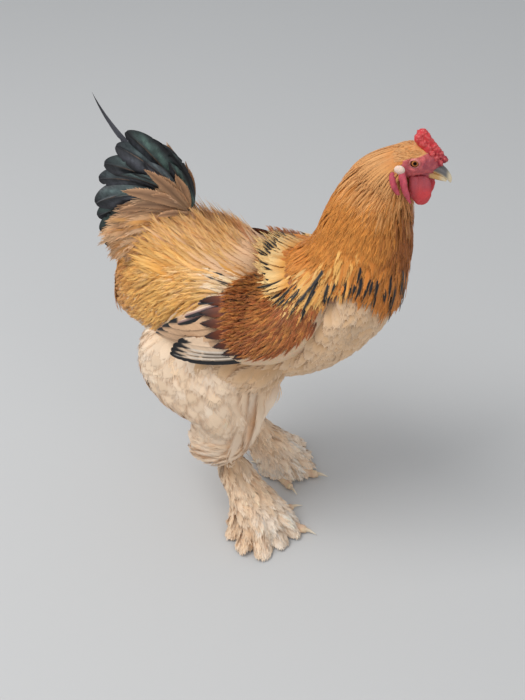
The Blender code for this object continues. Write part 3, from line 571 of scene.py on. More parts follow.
def surface(name, roughness, specular, sheen=0.0, coat=0.0, metallic=0.0, flesh=0.0, grain=(260, 0.1),
            bump=(600, 0.15)):
    """A material with the mesh's colours, varied by fine noise, with uneven roughness and bump."""
    material = bpy.data.materials.new(name)
    material.use_nodes = True
    nodes, link = material.node_tree.nodes, material.node_tree.links.new
    shader = nodes["Principled BSDF"]
    for socket, value in (("Specular IOR Level", specular), ("Sheen Weight", sheen), ("Coat Weight", coat),
                          ("Coat Roughness", 0.1), ("Metallic", metallic), ("Subsurface Weight", flesh),
                          ("Subsurface Scale", 0.004)):
        shader.inputs[socket].default_value = value

    def added(kind, **values):
        node = nodes.new(f"ShaderNode{kind}")
        for socket, value in values.items():
            node.inputs[socket.replace("_", " ")].default_value = value
        return node

    def varied(scale, middle, wide):
        fine = added("TexNoise", Scale=scale, Detail=3)
        span = added("MapRange", From_Min=0.3, From_Max=0.7, To_Min=middle - wide, To_Max=middle + wide)
        link(fine.outputs["Fac"], span.inputs["Value"])
        return span.outputs["Result"]

    tint = added("Attribute")
    tint.attribute_name = "Tint"
    scaled = added("VectorMath")
    scaled.operation = "SCALE"
    link(tint.outputs["Color"], scaled.inputs[0])
    link(varied(grain[0], 1.0, grain[1]), scaled.inputs["Scale"])
    link(scaled.outputs["Vector"], shader.inputs["Base Color"])
    link(varied(grain[0] * 0.7, roughness, 0.08), shader.inputs["Roughness"])
    rise = added("Bump", Strength=bump[1], Distance=0.001)
    link(added("TexNoise", Scale=bump[0], Detail=3).outputs["Fac"], rise.inputs["Height"])
    link(rise.outputs["Normal"], shader.inputs["Normal"])
    return material


SOFT = surface("soft_feather", 0.85, 0.15, 0.15, grain=(300, 0.06))
SILKY = surface("silky_feather", 0.5, 0.35, 0.08, grain=(320, 0.12))
GLOSSY = surface("glossy_feather", 0.34, 0.6, metallic=0.35, grain=(180, 0.18))
FLESH = surface("bare_skin", 0.5, 0.4, coat=0.15, flesh=0.12, grain=(420, 0.14), bump=(1500, 0.35))
HORN = surface("horn", 0.35, 0.5, coat=0.2, grain=(500, 0.12), bump=(900, 0.12))
SCALY = surface("toe_scales", 0.5, 0.4, grain=(500, 0.12), bump=(1200, 0.2))
WET = surface("wet_eye", 0.1, 0.08, coat=0.03, grain=(2500, 0.12), bump=(900, 0.0))


def closed(form, start, end, rings, sides, out=0.0, move=None):
    """A closed tube along a form as points and faces."""
    t = np.linspace(start, end, rings)[:, None]
    a = np.linspace(0, 360, sides, endpoint=False)[None]
    points = form.place(t + 0 * a, a + 0 * t, out).reshape(-1, 3)
    if move is not None:
        points = move(points)
    faces = []
    for i in range(rings - 1):
        for j in range(sides):
            k = (j + 1) % sides
            faces.append((i * sides + j, i * sides + k, (i + 1) * sides + k, (i + 1) * sides + j))
    faces += [tuple(range(sides)), tuple(range((rings - 1) * sides, rings * sides))]
    return points, faces


def ball(centre, radii, detail):
    """A sphere or ellipsoid as points and faces."""
    bm = bmesh.new()
    bmesh.ops.create_icosphere(bm, subdivisions=detail, radius=1)
    points = np.array([v.co[:] for v in bm.verts]) * radii + centre
    faces = [tuple(v.index for v in f.verts) for f in bm.faces]
    bm.free()
    return points, faces


def joined(name, parts):
    """One mesh of several parts, faces pointing out."""
    points = np.concatenate([p for p, _ in parts])
    faces, count = [], 0
    for p, f in parts:
        faces += [tuple(int(i) + count for i in face) for face in f]
        count += len(p)
    bm = bmesh.new()
    made = [bm.verts.new(p) for p in points]
    for face in faces:
        bm.faces.new([made[i] for i in face])
    bmesh.ops.recalc_face_normals(bm, faces=bm.faces)
    mesh = bpy.data.meshes.new(name)
    bm.to_mesh(mesh)
    bm.free()
    mesh.shade_smooth()
    return mesh


def fused(name, parts, voxel, soften):
    """The parts melted into one smooth skin."""
    holder = bpy.data.objects.new(name, joined(name, parts))
    bpy.context.scene.collection.objects.link(holder)
    remesh = holder.modifiers.new("melt", "REMESH")
    remesh.mode = "VOXEL"
    remesh.voxel_size = voxel
    smooth = holder.modifiers.new("soften", "SMOOTH")
    smooth.factor = 0.5
    smooth.iterations = soften
    mesh = bpy.data.meshes.new_from_object(holder.evaluated_get(bpy.context.evaluated_depsgraph_get()))
    bpy.data.objects.remove(holder)
    mesh.name = name
    mesh.shade_smooth()
    return mesh


def read(mesh, what="co"):
    """The mesh's points, or its normals, as an array."""
    values = np.empty(3 * len(mesh.vertices), np.float32)
    (mesh.vertices if what == "co" else mesh.vertex_normals).foreach_get(what, values)
    return values.reshape(-1, 3).astype(float)


def moved(mesh, points):
    """Gives the mesh's points new places."""
    mesh.vertices.foreach_set("co", points.astype(np.float32).ravel())
    mesh.update()


def pushed(mesh, amount):
    """Moves each point of the mesh along its normal."""
    moved(mesh, read(mesh) + read(mesh, "vector") * amount[:, None])


def sided(side):
    """Factors that take places of the right side to the side named."""
    return np.array([1, 1 if side == "right" else -1, 1])


def grainy(points, size, seed=0):
    """Smooth noise from -1 to 1 with lumps of about the size."""
    shift = Vector((seed * 7.1, seed * 3.3, seed * 5.7))
    return np.array([noise.noise(Vector(p) / size + shift) for p in points])


def mixed(one, other, share):
    """Colours between one and other."""
    return one + (other - one) * np.asarray(share)[:, None]


# Head sizes, as in the solids
EYE, EYE_RADIUS = np.array([0.157 + AHEAD, -0.0128, 0.545]), 0.0066
EYE_OPEN, LID = 0.0037, 0.0047
COMB_FRONT = np.array([0.184 + AHEAD, 0, 0.543])
COMB_BACK = np.array([0.156 + AHEAD, 0, 0.569])
EAR_PATCH = np.array([0.1425 + AHEAD, -0.0205, 0.5368])
EAR_SIZE = np.array([0.006, 0.003, 0.0052])
REAR_OF_FACE = 0.1355
SKIN_VOXEL, COMB_VOXEL, FOLD_VOXEL = 0.003, 0.0006, 0.0007
FACE_RED = linear(216, 104, 104)
FACE_DARK = linear(172, 74, 84)
FACE_PINK = linear(222, 140, 132)
COMB_RED = linear(212, 56, 62)
COMB_DEEP = linear(150, 34, 54)
# paler pink for painted highlights on the comb's beads and on the raised folds of wattle and lobe
PAINTED_HIGHLIGHT_PINK = linear(222, 110, 104)


def face_edge(x):
    """Height of the line over the eye where the bare face ends."""
    return np.interp(x - AHEAD, [0.138, 0.142, 0.15, 0.16, 0.17, 0.185],
                     [0.542, 0.545, 0.5492, 0.5512, 0.5545, 0.562])


def face_share(points):
    """One on the bare face, zero under feathers."""
    x, y, z = points.T
    above = ramp(z - face_edge(x), 0.0008, -0.0008)
    behind = ramp(x - AHEAD + 0.35 * (0.537 - z), REAR_OF_FACE, REAR_OF_FACE + 0.002)
    return above * behind * ramp(z, 0.512, 0.518)


def seat_lids(mesh, r):
    """Lays the lids on the eyeballs and sinks the skin behind the openings."""
    points = read(mesh)
    near = (r < 0.0066) & (np.abs(points[:, 1]) > 0.006) & (points[:, 2] > 0.53)
    on_ball = -EYE[1] + np.sqrt(np.maximum(EYE_RADIUS**2 - r**2, 0))
    seat = on_ball + 0.0008 * np.exp(-(((r - EYE_OPEN - 0.0005) / 0.0007) ** 2)) + 0.0001
    seat = np.where(r < EYE_OPEN, on_ball - 0.003, seat)
    share = ramp(r, 0.0064, 0.0052) * near
    out = np.abs(points[:, 1])
    points[:, 1] = np.sign(points[:, 1]) * (out + (seat - out) * share)
    moved(mesh, points)


def ring_about(r, at, wide):
    """One where r is at, falling off on both sides within about wide."""
    return np.exp(-(((r - at) / wide) ** 2))


def make_skin():
    """One skin under the whole coat, with the bare face, its lids and folds."""
    parts = []
    once, twice = (None,), (None, flip_leg)
    for form, rings, depth, moves in (
            (trunk, 60, COAT_DEPTH, once), (head, 40, 0.0, once), (thigh, 40, COAT_DEPTH, twice),
            (shank, 30, 0.006, twice), (tail_core, 12, 0.004, once)):
        sides = 72 if form is trunk else 36
        t = np.linspace(0, form.last, rings)[:, None]
        a = np.linspace(0, 360, sides, endpoint=False)[None]
        out = -np.minimum(depth, 0.45 * form.row(t + 0 * a)[..., 3])
        if form is trunk:
            out = out + wing_bulk(t + 0 * a, a + 0 * t)
        parts += [closed(form, 0, form.last, rings, sides, out, move) for move in moves]
    mesh = fused("skin", parts, SKIN_VOXEL, 3)
    bm = bmesh.new()
    bm.from_mesh(mesh)
    near = [e for e in bm.edges if all(v.co.z > 0.515 and v.co.x > 0.13 for v in e.verts)]
    bmesh.ops.subdivide_edges(bm, edges=near, cuts=3, use_grid_fill=True, smooth=0.6)
    bm.normal_update()
    bm.to_mesh(mesh)
    bm.free()
    points = read(mesh)
    x, y, z = points.T
    bare = face_share(points)
    r = np.hypot((x - EYE[0]) / 1.12, z - EYE[2])
    below = ramp(EYE[2] - z, -0.001, 0.003)
    relief = 0.0006 * ring_about(r, 0.0078, 0.0008) * below
    relief += 0.0009 * ring_about(r, 0.0092, 0.0014) * (1 - below)
    relief -= 0.0005 * ring_about(r, 0.0064, 0.0007)
    face_part = np.flatnonzero(bare > 0)
    rough, lumps = np.zeros(len(points)), np.zeros(len(points))
    rough[face_part] = 0.00055 * grainy(points[face_part], 0.0034)
    rough[face_part] += 0.00028 * grainy(points[face_part], 0.0013, 1)
    calm = ramp(r, LID, 0.0075)
    pushed(mesh, (relief * ramp(np.abs(y), 0.006, 0.01) + rough * calm) * bare)
    seat_lids(mesh, r)
    back = ramp(z, 0.36, 0.4) * ramp(x, 0.07, 0.02)
    rump = ramp(x, -0.15, -0.165) * ramp(z, 0.3, 0.315)
    colour = mixed(CREAM, GOLD, np.maximum(back, rump))
    # painted shade: the skin under the front of the neck darkens to match the shaded hackle over it
    colour = mixed(colour, BROWN, ramp(x + 0.4 * (z - 0.4), 0.05, 0.08) * ramp(z, 0.36, 0.4))
    colour = mixed(colour, CROWN, ramp(z, 0.53, 0.545))
    lumps[face_part] = grainy(points[face_part], 0.005, 2)
    dark = 0.35 + 0.9 * lumps + 0.5 * ramp(x - EYE[0], 0.004, 0.014)
    face = mixed(FACE_RED, FACE_DARK, np.clip(dark, 0, 1))
    face = mixed(face, FACE_PINK, 0.75 * ring_about(r, LID, 0.001))
    # painted shade: the skin inside the lid opening, sunk behind the eyeball, is painted dark
    face = mixed(face, linear(70, 26, 28), ramp(r, EYE_OPEN + 0.0004, EYE_OPEN - 0.0002))
    paint(mesh, colour + (face - colour) * bare[:, None])
    nodes = ["torso", "rump", "neck", "head", "thigh_left", "thigh_right", "shank_left", "shank_right"]
    return dressed("skin", mesh, FLESH, nodes)


# Colours of the eye by degrees away from where it looks
IRIS = [(0, linear(6, 4, 4)), (16, linear(6, 4, 4)), (18, linear(140, 76, 30)), (22, linear(186, 124, 74)),
        (28, linear(190, 110, 50)), (32, linear(90, 44, 22)), (36, linear(40, 20, 16)),
        (180, linear(30, 16, 14))]


def make_eye(side):
    """An eyeball with pupil, amber iris and dark rim."""
    centre = EYE * sided(side)
    mesh = joined(f"eyeball_{side}", [ball(centre, EYE_RADIUS, 5)])
    way = unit(read(mesh) - centre)
    look = unit(np.array([0.12, -1.0, 0.12]) * sided(side))
    paint(mesh, along(IRIS, np.degrees(np.arccos(np.clip(way @ look, -1, 1)))))
    dressed(mesh.name, mesh, WET, [f"eye_{side}"])


# Ridges of the comb: how far to the side, number of lobes, their radius and height
COMB_RIDGES = ((0.0, 7, 0.005, 0.002), (-0.006, 6, 0.0041, -0.002), (0.006, 6, 0.0041, -0.002))


def make_comb():
    """A pea comb: three low ridges of lobes under fine beads."""
    rng = np.random.default_rng(5)
    parts, beads = [], []
    ridge = COMB_BACK - COMB_FRONT
    rise = unit(np.cross(ridge, np.array([0, -1.0, 0])))
    rise = rise * np.sign(rise[2])
    for y, count, radius, lift in COMB_RIDGES:
        for share in 0.03 + 0.92 * np.arange(count) / (count - 1):
            size = radius * (0.72 + 0.42 * share) * rng.uniform(0.92, 1.08)
            lobe = COMB_FRONT + ridge * share + rise * (lift + 0.0016 * share)
            lobe = lobe + np.array([0, y * (0.75 + 0.25 * share), 0])
            parts.append(ball(lobe, (size, size * 0.78, size * 1.12), 3))
            for _ in range(15):
                way = unit(rng.normal(0, 1, 3) + 0.9 * rise + np.array([0, 0.8 * np.sign(y), 0]))
                at = lobe + way * size * np.array([0.97, 0.76, 1.08])
                parts.append(ball(at, rng.uniform(0.0008, 0.0013), 2))
                beads.append(at)
    base = COMB_FRONT - rise * 0.003 - np.array([AHEAD, 0, 0])
    bed = [(*(base + ridge * share), 0.0075 * wide, 0.0045 * wide, 0.004 * wide)
           for share, wide in ((-0.04, 0.3), (0.1, 0.75), (0.5, 0.95), (0.9, 0.95), (1.05, 0.35))]
    parts.append(closed(Form(bed), 0, 4, 24, 24))
    mesh = fused("pea_comb", parts, COMB_VOXEL, 2)
    points = read(mesh)
    near = np.full(len(points), 1.0)
    for at in beads:
        near = np.minimum(near, np.linalg.norm(points - at, axis=1))
    share = (points - COMB_FRONT) @ ridge / (ridge @ ridge)
    colour = mixed(COMB_RED, COMB_DEEP, np.clip(ramp(share, 0.55, 0.0) + 0.25 * grainy(points, 0.004), 0, 1))
    # painted highlight: the raised beads are painted paler pink
    paint(mesh, mixed(colour, PAINTED_HIGHLIGHT_PINK, 0.45 * ramp(near, 0.0016, 0.0009)))
    dressed("pea_comb", mesh, FLESH, ["comb"])


# Folds of wattle and ear lobe as sections from the top down: centre, then half sizes
WATTLE_FRONT = [
    (0.164, -0.007, 0.527, 0.0028, 0.006, 0.006), (0.165, -0.0095, 0.5185, 0.0034, 0.0105, 0.0105),
    (0.165, -0.0105, 0.508, 0.004, 0.0118, 0.012), (0.165, -0.0102, 0.4995, 0.0036, 0.0092, 0.0092),
    (0.164, -0.0098, 0.494, 0.0012, 0.003, 0.003),
]
WATTLE_REAR = [
    (0.157, -0.0105, 0.527, 0.0022, 0.0045, 0.0045), (0.157, -0.013, 0.518, 0.0026, 0.006, 0.005),
    (0.158, -0.0135, 0.509, 0.0022, 0.0045, 0.004), (0.159, -0.0125, 0.503, 0.001, 0.002, 0.002),
]
LOBE_FRONT = [
    (0.144, -0.0195, 0.534, 0.0026, 0.0046, 0.0046), (0.1475, -0.0222, 0.526, 0.003, 0.004, 0.004),
    (0.1505, -0.0222, 0.515, 0.0028, 0.0038, 0.0036), (0.1545, -0.02, 0.5045, 0.002, 0.0026, 0.0024),
    (0.157, -0.0185, 0.4985, 0.0008, 0.001, 0.001),
]
LOBE_REAR = [
    (0.1355, -0.02, 0.5335, 0.0024, 0.0036, 0.0036), (0.137, -0.0245, 0.525, 0.0026, 0.0038, 0.0036),
    (0.1405, -0.025, 0.516, 0.0022, 0.0032, 0.003), (0.145, -0.023, 0.5085, 0.001, 0.0014, 0.0014),
]


def make_folds(side):
    """A wattle and an ear lobe, each of two soft folds, and the white ear patch."""
    move = None if side == "right" else flip
    for name, folds, node in (("wattle_fold", (WATTLE_FRONT, WATTLE_REAR), "wattle"),
                              ("lobe_fold", (LOBE_FRONT, LOBE_REAR), "ear_lobe")):
        parts = [closed(Form(rows), 0, len(rows) - 1, 40, 28, 0.0, move) for rows in folds]
        mesh = fused(f"{name}_{side}", parts, FOLD_VOXEL, 3)
        points = read(mesh)
        drapes = 0.5 + 0.5 * grainy(points * np.array([1.0, 1.0, 0.35]), 0.0042, 2)
        fine = 0.0006 * grainy(points, 0.006) + 0.00025 * grainy(points, 0.0014, 3)
        pushed(mesh, fine + 0.0008 * (drapes - 0.5))
        if node == "ear_lobe":
            # painted shade: the lobe is darker in the furrows, where drapes sinks its skin
            deep = np.clip(1.2 * (0.6 - drapes) + 0.2, 0, 1)
            colour = mixed(linear(214, 84, 104), linear(150, 48, 66), deep)
        else:
            # darker purple-red over the top and the rear fold: partly the wattle's own purple tone, partly
            # painted shade on the rear fold; the drapes term adds painted shade in the furrows
            low = ramp(folds[0][0][2] - points[:, 2], 0.006, 0.018) * ramp(points[:, 0], 0.156, 0.172)
            colour = mixed(COMB_RED, FACE_DARK, np.clip(0.85 - 0.75 * low + 0.25 * (0.5 - drapes), 0, 1))
        # painted highlight: paler pink on the raised folds of the outer side
        outer = ramp(np.abs(points[:, 1]), 0.009, 0.014)
        paint(mesh, mixed(colour, PAINTED_HIGHLIGHT_PINK, 0.2 * drapes * outer))
        dressed(f"{name}_{side}", mesh, FLESH, [f"{node}_{side}"])
    centre = EAR_PATCH * sided(side)
    mesh = joined(f"ear_skin_{side}", [ball(centre, EAR_SIZE, 5)])
    points = read(mesh)
    pushed(mesh, 0.0003 * grainy(points, 0.0022) + 0.00012 * grainy(points, 0.0008, 1))
    low = ramp(centre[2] - points[:, 2], -0.002, 0.0055)
    paint(mesh, mixed(linear(240, 214, 196), linear(206, 142, 128), 0.6 * low))
    dressed(mesh.name, mesh, FLESH, [f"ear_patch_{side}"])


# Sections of the bill from the face to its tip: x, z, then half sizes
UPPER_BEAK = [
    (0.16, 0.5375, 0.0085, 0.007, 0.0044), (0.167, 0.5372, 0.0087, 0.0076, 0.0048),
    (0.176, 0.5345, 0.0074, 0.007, 0.0046), (0.185, 0.5305, 0.0052, 0.0054, 0.0036),
    (0.1915, 0.525, 0.0027, 0.0034, 0.0026), (0.194, 0.52, 0.0006, 0.0008, 0.0008),
]
LOWER_BEAK = [
    (0.16, 0.5285, 0.0074, 0.005, 0.0045), (0.166, 0.5284, 0.0076, 0.0052, 0.0045),
    (0.175, 0.5262, 0.0062, 0.0052, 0.0038), (0.184, 0.5236, 0.004, 0.0042, 0.0028),
    (0.1895, 0.521, 0.0012, 0.0012, 0.001),
]


def spot(x, z, at, sizes):
    """One at a place on the bill, falling off within about the sizes."""
    return np.exp(-(((x - at[0]) / sizes[0]) ** 2) - ((z - at[1]) / sizes[1]) ** 2)


def make_beak():
    """The bill: slate horn over the ridge, yellow along the gape, pale at the tip, with nostrils."""
    slate, yellow, pale = linear(74, 78, 88), linear(206, 160, 96), linear(232, 214, 178)
    for name, rows in (("upper", UPPER_BEAK), ("lower", LOWER_BEAK)):
        mesh = joined(f"bill_{name}", [closed(Form(rows), 0, len(rows) - 1, 60, 40)])
        x, y, z = read(mesh).T - np.array([[AHEAD], [0], [0]])
        growth = 0.00008 * np.sin(x * 2 * math.pi / 0.0011) * ramp(x, 0.176, 0.182)
        if name == "upper":
            outer = np.abs(y) > 0.003
            nostril = spot(x, z, (0.1745, 0.5385), (0.0022, 0.0009)) * outer
            flap = spot(x, z, (0.1735, 0.5402), (0.0035, 0.0012)) * outer
            pushed(mesh, 0.0006 * flap - 0.0012 * nostril + growth)
            middle = np.interp(x, [r[0] for r in rows], [r[1] for r in rows])
            ridge = ramp(z - middle, -0.0022, 0.0012) * ramp(x, 0.1935, 0.188)
            colour = mixed(mixed(yellow, pale, ramp(x, 0.178, 0.189)), slate, 0.9 * ridge)
            # painted shade: the nostril's dent is painted near black, for the shade inside the opening
            colour = mixed(colour, linear(30, 24, 26), np.clip(1.3 * nostril, 0, 1))
            colour = mixed(colour, FACE_DARK, ramp(x, 0.1745, 0.1715))
        else:
            pushed(mesh, growth)
            colour = mixed(mixed(yellow, pale, ramp(x, 0.18, 0.188)), FACE_DARK, ramp(x, 0.1735, 0.1705))
        paint(mesh, colour)
        dressed(mesh.name, mesh, HORN, [f"beak_{name}"])


# Toes: name, reach, degrees off straight ahead and radius; then sizes along a toe and along a claw
TOES = (("middle", 0.064, 8, 0.0066), ("inner", 0.044, -38, 0.0058), ("outer", 0.046, 46, 0.0058),
        ("hind", 0.024, 165, 0.005))
TOE_SIZES = ((0, 1.1), (0.15, 1.0), (0.3, 0.94), (0.38, 1.02), (0.55, 0.9), (0.66, 0.96), (0.82, 0.82),
             (0.93, 0.86), (1, 0.35))
CLAW_SIZES = ((0, 1.0), (0.25, 0.92), (0.5, 0.7), (0.75, 0.42), (1, 0.1))
FOOT_HUB, HUB_RADIUS = np.array([0.002, -0.044, 0.0075]), 0.0115
HUB_PLACE = FOOT_HUB + np.array([AHEAD, 0, 0])
CLAW_LENGTH, CLAW_RADIUS = 0.014, 0.0032
TOE_RINGS, TOE_SIDES, SCUTE_LENGTH = 110, 26, 0.0036


def make_toe(reach, way, radius):
    """A toe with raised scutes over its top."""
    rows = []
    for share, size in TOE_SIZES:
        r = radius * size
        rows.append((*(FOOT_HUB[:2] + way * reach * share), 0.78 * r, r, 0.95 * r, 0.78 * r))
    toe = Form(rows)
    points, faces = closed(toe, 0, toe.last, TOE_RINGS, TOE_SIDES)
    t = np.repeat(np.linspace(0, 1, TOE_RINGS), TOE_SIDES)
    a = np.tile(np.linspace(0, 360, TOE_SIDES, endpoint=False), TOE_RINGS)
    wave = np.sin(np.pi * ((t * reach / SCUTE_LENGTH) % 1)) ** 0.5 - 0.6
    scute = wave * np.clip(np.sin(np.radians(a)) * 1.4, 0.15, 1)
    return points + unit(points - toe.row(t * toe.last)[:, :3]) * (0.00045 * scute)[:, None], faces


def make_claw(reach, way, radius):
    """A claw that curves down from the end of its toe."""
    rows = []
    for share, size in CLAW_SIZES:
        drop = 0.0014 * math.sin(math.pi * min(share, 0.7)) - 0.0034 * share**2
        r = CLAW_RADIUS * size * (radius / TOES[0][3])
        along_toe = reach - 0.003 + (CLAW_LENGTH + 0.003) * share
        height = max(0.75 * radius + drop, 0.9 * r)
        rows.append((*(FOOT_HUB[:2] + way * along_toe), height, 0.75 * r, r, 0.85 * r))
    return closed(Form(rows), 0, 4, 30, 18)


def make_feet(side):
    """Scaly toes with pads, and their claws."""
    mirror = np.array if side == "right" else flip_leg
    toes, claws = [], []
    for name, reach, turn, radius in TOES:
        way = np.array([math.cos(math.radians(turn)), -math.sin(math.radians(turn))])
        toes.append(make_toe(reach, way, radius))
        claws.append((name, make_claw(reach, way, radius)))
    toes.append(ball(HUB_PLACE, HUB_RADIUS * np.array([1.1, 0.9, 0.62]), 4))
    mesh = joined(f"scaly_toes_{side}", [(mirror(points), faces) for points, faces in toes])
    points = read(mesh)
    points[:, 2] = np.maximum(points[:, 2], 0.0)
    moved(mesh, points)
    colour = mixed(linear(232, 210, 170), linear(220, 180, 156), 0.5 + 0.5 * grainy(points, 0.006))
    # painted shade: the toes darken to brown towards the floor, under them
    paint(mesh, mixed(colour, linear(150, 112, 78), ramp(points[:, 2], 0.003, 0.0)))
    dressed(mesh.name, mesh, SCALY, [f"foot_{side}"])
    for name, (points, faces) in claws:
        mesh = joined(f"nail_{name}_{side}", [(mirror(points), faces)])
        far = np.linalg.norm(read(mesh)[:, :2] - mirror(HUB_PLACE[None])[0, :2], axis=1)
        paint(mesh, mixed(linear(216, 192, 160), linear(238, 226, 204), ramp(far, far.min(), far.max())))
        dressed(mesh.name, mesh, HORN, [f"claw_{name}_{side}"])


def two_sided(name, seed, fill, material, slot, nodes=(), mirror=flip):
    """A coat piece for each side: fill lays the right-hand feathers, drawn anew for the left."""
    for side, turn in (("right", None), ("left", mirror)):
        coat = Coat(seed + (side == "left"), side == "left")
        fill(coat)
        coat.piece(f"{name}_{side}", material, slot, [n.format(side) for n in nodes], turn)


def under_wing(t, a):
    """True where the folded wing covers the trunk."""
    return wing_thickness(t, a) > 0.004


# The hem of the hackle, as angle and t, on the side seen in the photo and on the far side
HEM = ([80, 90, 106, 115, 125, 135, 148, 158, 180, 210, 246, 270],
       [3.6, 3.6, 3.7, 4.1, 4.65, 5.25, 5.85, 6.4, 6.7, 6.65, 6.4, 6.35])
LEFT_HEM = ([80, 90, 115, 130, 142, 150, 158, 180, 210, 246, 270],
            [3.6, 3.6, 3.75, 3.95, 4.4, 5.3, 6.1, 6.7, 6.65, 6.4, 6.35])


def hem(a, left=False):
    """Where the neck hackle ends, as t by angle; it lies further over the far shoulder."""
    return np.interp(a, *(LEFT_HEM if left else HEM))


def neck_place(t, a, out=0.0):
    """Places over the trunk with its wing and the fuller nape."""
    return coat_place(t, a, 0.0045 * ramp(a, 150, 100) * ramp(t, 6.8, 8.2) * ramp(t, 10.7, 9.8) + out)


def far_cape_place(t, a, out=0.0):
    """Places over the far shoulder, where the cape lies flat on the back before it meets the wing."""
    return trunk.place(t, a, wing_thickness(t, a) * ramp(a, 138, 154) + out)


def breast_coat(coat):
    """Soft feathers of breast, belly and flank, cream with pale fringes."""
    cream = [(0, BREAST), (0.55, BREAST), (1, CREAM)]
    tint = tinted([cream], rim=CREAM_PALE, rim_share=0.6, spread=0.05, deep=0.92)
    t, a = scatter(trunk.place, 7.3, 0.5, 0.0085, 0.0072, (150, 270), coat.rng,
                   lambda t, a: ~under_wing(t, a) & (a > 172))
    n = len(t)
    slant = 14 + 25 * ramp(a, 250, 190) + coat.rng.normal(0, 7, n)
    step = lie(trunk.place, t, a, about(coat.rng, 0.03, 0.15, n), slant)
    coat.grow(trunk.place, t, a, step, 0.0088, BODY, tint, out=0.0, cup=0.04, rise=0.06)
    n = 110
    t, a = coat.rng.uniform(2.4, 4.7, n), coat.rng.uniform(203, 216, n)
    root = trunk.place(t, a, -0.004)
    heading = np.array([-0.72, -0.27, -0.6]) + coat.rng.normal(0, 0.08, (n, 3))
    face = unit(np.array([-0.1, -1.0, 0.15]) + coat.rng.normal(0, 0.06, (n, 3)))
    ends = free_ends(root, heading, face, about(coat.rng, 0.046, 0.2, n), np.array([-0.05, 0.32, -0.2]))
    coat.deal(ends, DOWNY, 0.0125, tint, t, a, cup=0.04)


def back_coat(coat):
    """Feathers of the back between cape and saddle, straw and pale buff."""
    straw = [(0, CREAM_DARK), (0.5, STRAW), (1, CREAM_PALE)]
    buff = [(0, CREAM_DARK), (0.5, PINK_BUFF), (1, GOLD_PALE)]
    tint = tinted([buff, straw], lambda t, a, rng: pair(ramp(a + rng.normal(0, 6, len(a)), 104, 122)),
                  spread=0.08, rim=CREAM_PALE, rim_share=0.4,
                  striped=lambda t, a, rng: 1.0 * (rng.uniform(0, 1, len(t)) < 0.22),
                  stripe_wide=0.22, stripe_at=(0.5, 0.9), deep=0.95)
    t, a = scatter(trunk.place, 5.4, 2.8, 0.0056, 0.0062, (88, 170), coat.rng,
                   lambda t, a: (a < 134) & (t < hem(a, coat.left) + 0.9))
    n = len(t)
    step = lie(trunk.place, t, a, about(coat.rng, 0.04, 0.15, n), 20 + coat.rng.normal(0, 8, n))
    coat.grow(trunk.place, t, a, step, 0.0044, CAPE, tint, out=0.0)


# The saddle's lower edge, as t and angle
SADDLE_EDGE = ([0.1, 1.5, 2.2, 3.0, 4.0, 5.0], [202, 198, 176, 146, 124, 104])


def saddle_coat(coat):
    """Long silky saddle hackle over the rump: golden, pinkish buff on top and russet at the rear."""
    gold = [(0, RUSSET), (0.4, GOLD), (0.8, GOLD_PALE), (1, GOLD)]
    pink = [(0, CREAM_DARK), (0.5, PINK_BUFF), (1, GOLD_PALE)]
    russet = [(0, BROWN), (0.6, RUSSET), (1, GOLD)]

    def weigh(t, a, rng):
        top = ramp(a + rng.normal(0, 8, len(a)), 142, 112) * ramp(t, 1.4, 2.4)
        rear = 0.9 * ramp(t + rng.normal(0, 0.35, len(t)), 2.4, 1.3)
        return np.stack([1 - np.maximum(top, rear), top, rear * (1 - top)], axis=1)

    tint = tinted([gold, pink, russet], weigh, spread=0.09, locks=0.12, rim=GOLD_PALE, rim_share=0.3,
                  deep=0.92)
    t, a = scatter(trunk.place, 5.0, 0.15, 0.0038, 0.0064, (85, 202), coat.rng,
                   lambda t, a: a < np.interp(t, *SADDLE_EDGE))
    n = len(t)
    slant = 14 + 44 * ramp(a, 95, 160) + coat.rng.normal(0, 4, n)
    length = about(coat.rng, 0.062 + 0.008 * ramp(t, 2.2, 1.0), 0.18, n)
    step = lie(trunk.place, t, a, length, slant)
    loose = 0.002 + 0.002 * ramp(a, 150, 180) + 0.01 * ramp(t, 2.0, 0.5) * coat.rng.uniform(0, 1, n) ** 2
    coat.grow(trunk.place, t, a, step, 0.0034, SILK, tint, out=loose, cup=0.05, rise=0.1)
    rump_end(coat, tint)
    tail_foot(coat, tinted([pink, gold], lambda t, a, rng: pair(ramp(a + rng.normal(0, 8, len(a)), 112, 138)),
                           spread=0.07, locks=0.08, deep=1.0))


def rump_end(coat, tint):
    """Feathers that hang down over the end of the rump."""
    rng = coat.rng
    n = 420
    a = rng.uniform(80, 250, n)
    middle = trunk.row(np.zeros(n))[:, :3]
    share = rng.uniform(0, 1, n)
    root = middle + (trunk.place(rng.uniform(0, 0.3, n), a) - middle) * share[:, None]
    root[:, 0] -= 0.0045 * (1 - share**2)
    back, out = -0.16 + rng.normal(0, 0.06, n), 0.12 - 0.42 * rng.uniform(0, 1, n)
    heading = np.stack([back, out, -np.ones(n)], axis=1)
    face = unit(np.array([-1.0, -0.25, 0.3]) + rng.normal(0, 0.1, (n, 3)))
    ends = free_ends(root, heading, face, about(rng, 0.044, 0.2, n), np.array([0.55, -0.05, -0.3]))
    coat.deal(ends, SILK, 0.0036, tint, np.full(n, 1.9), a, roll=0.1)


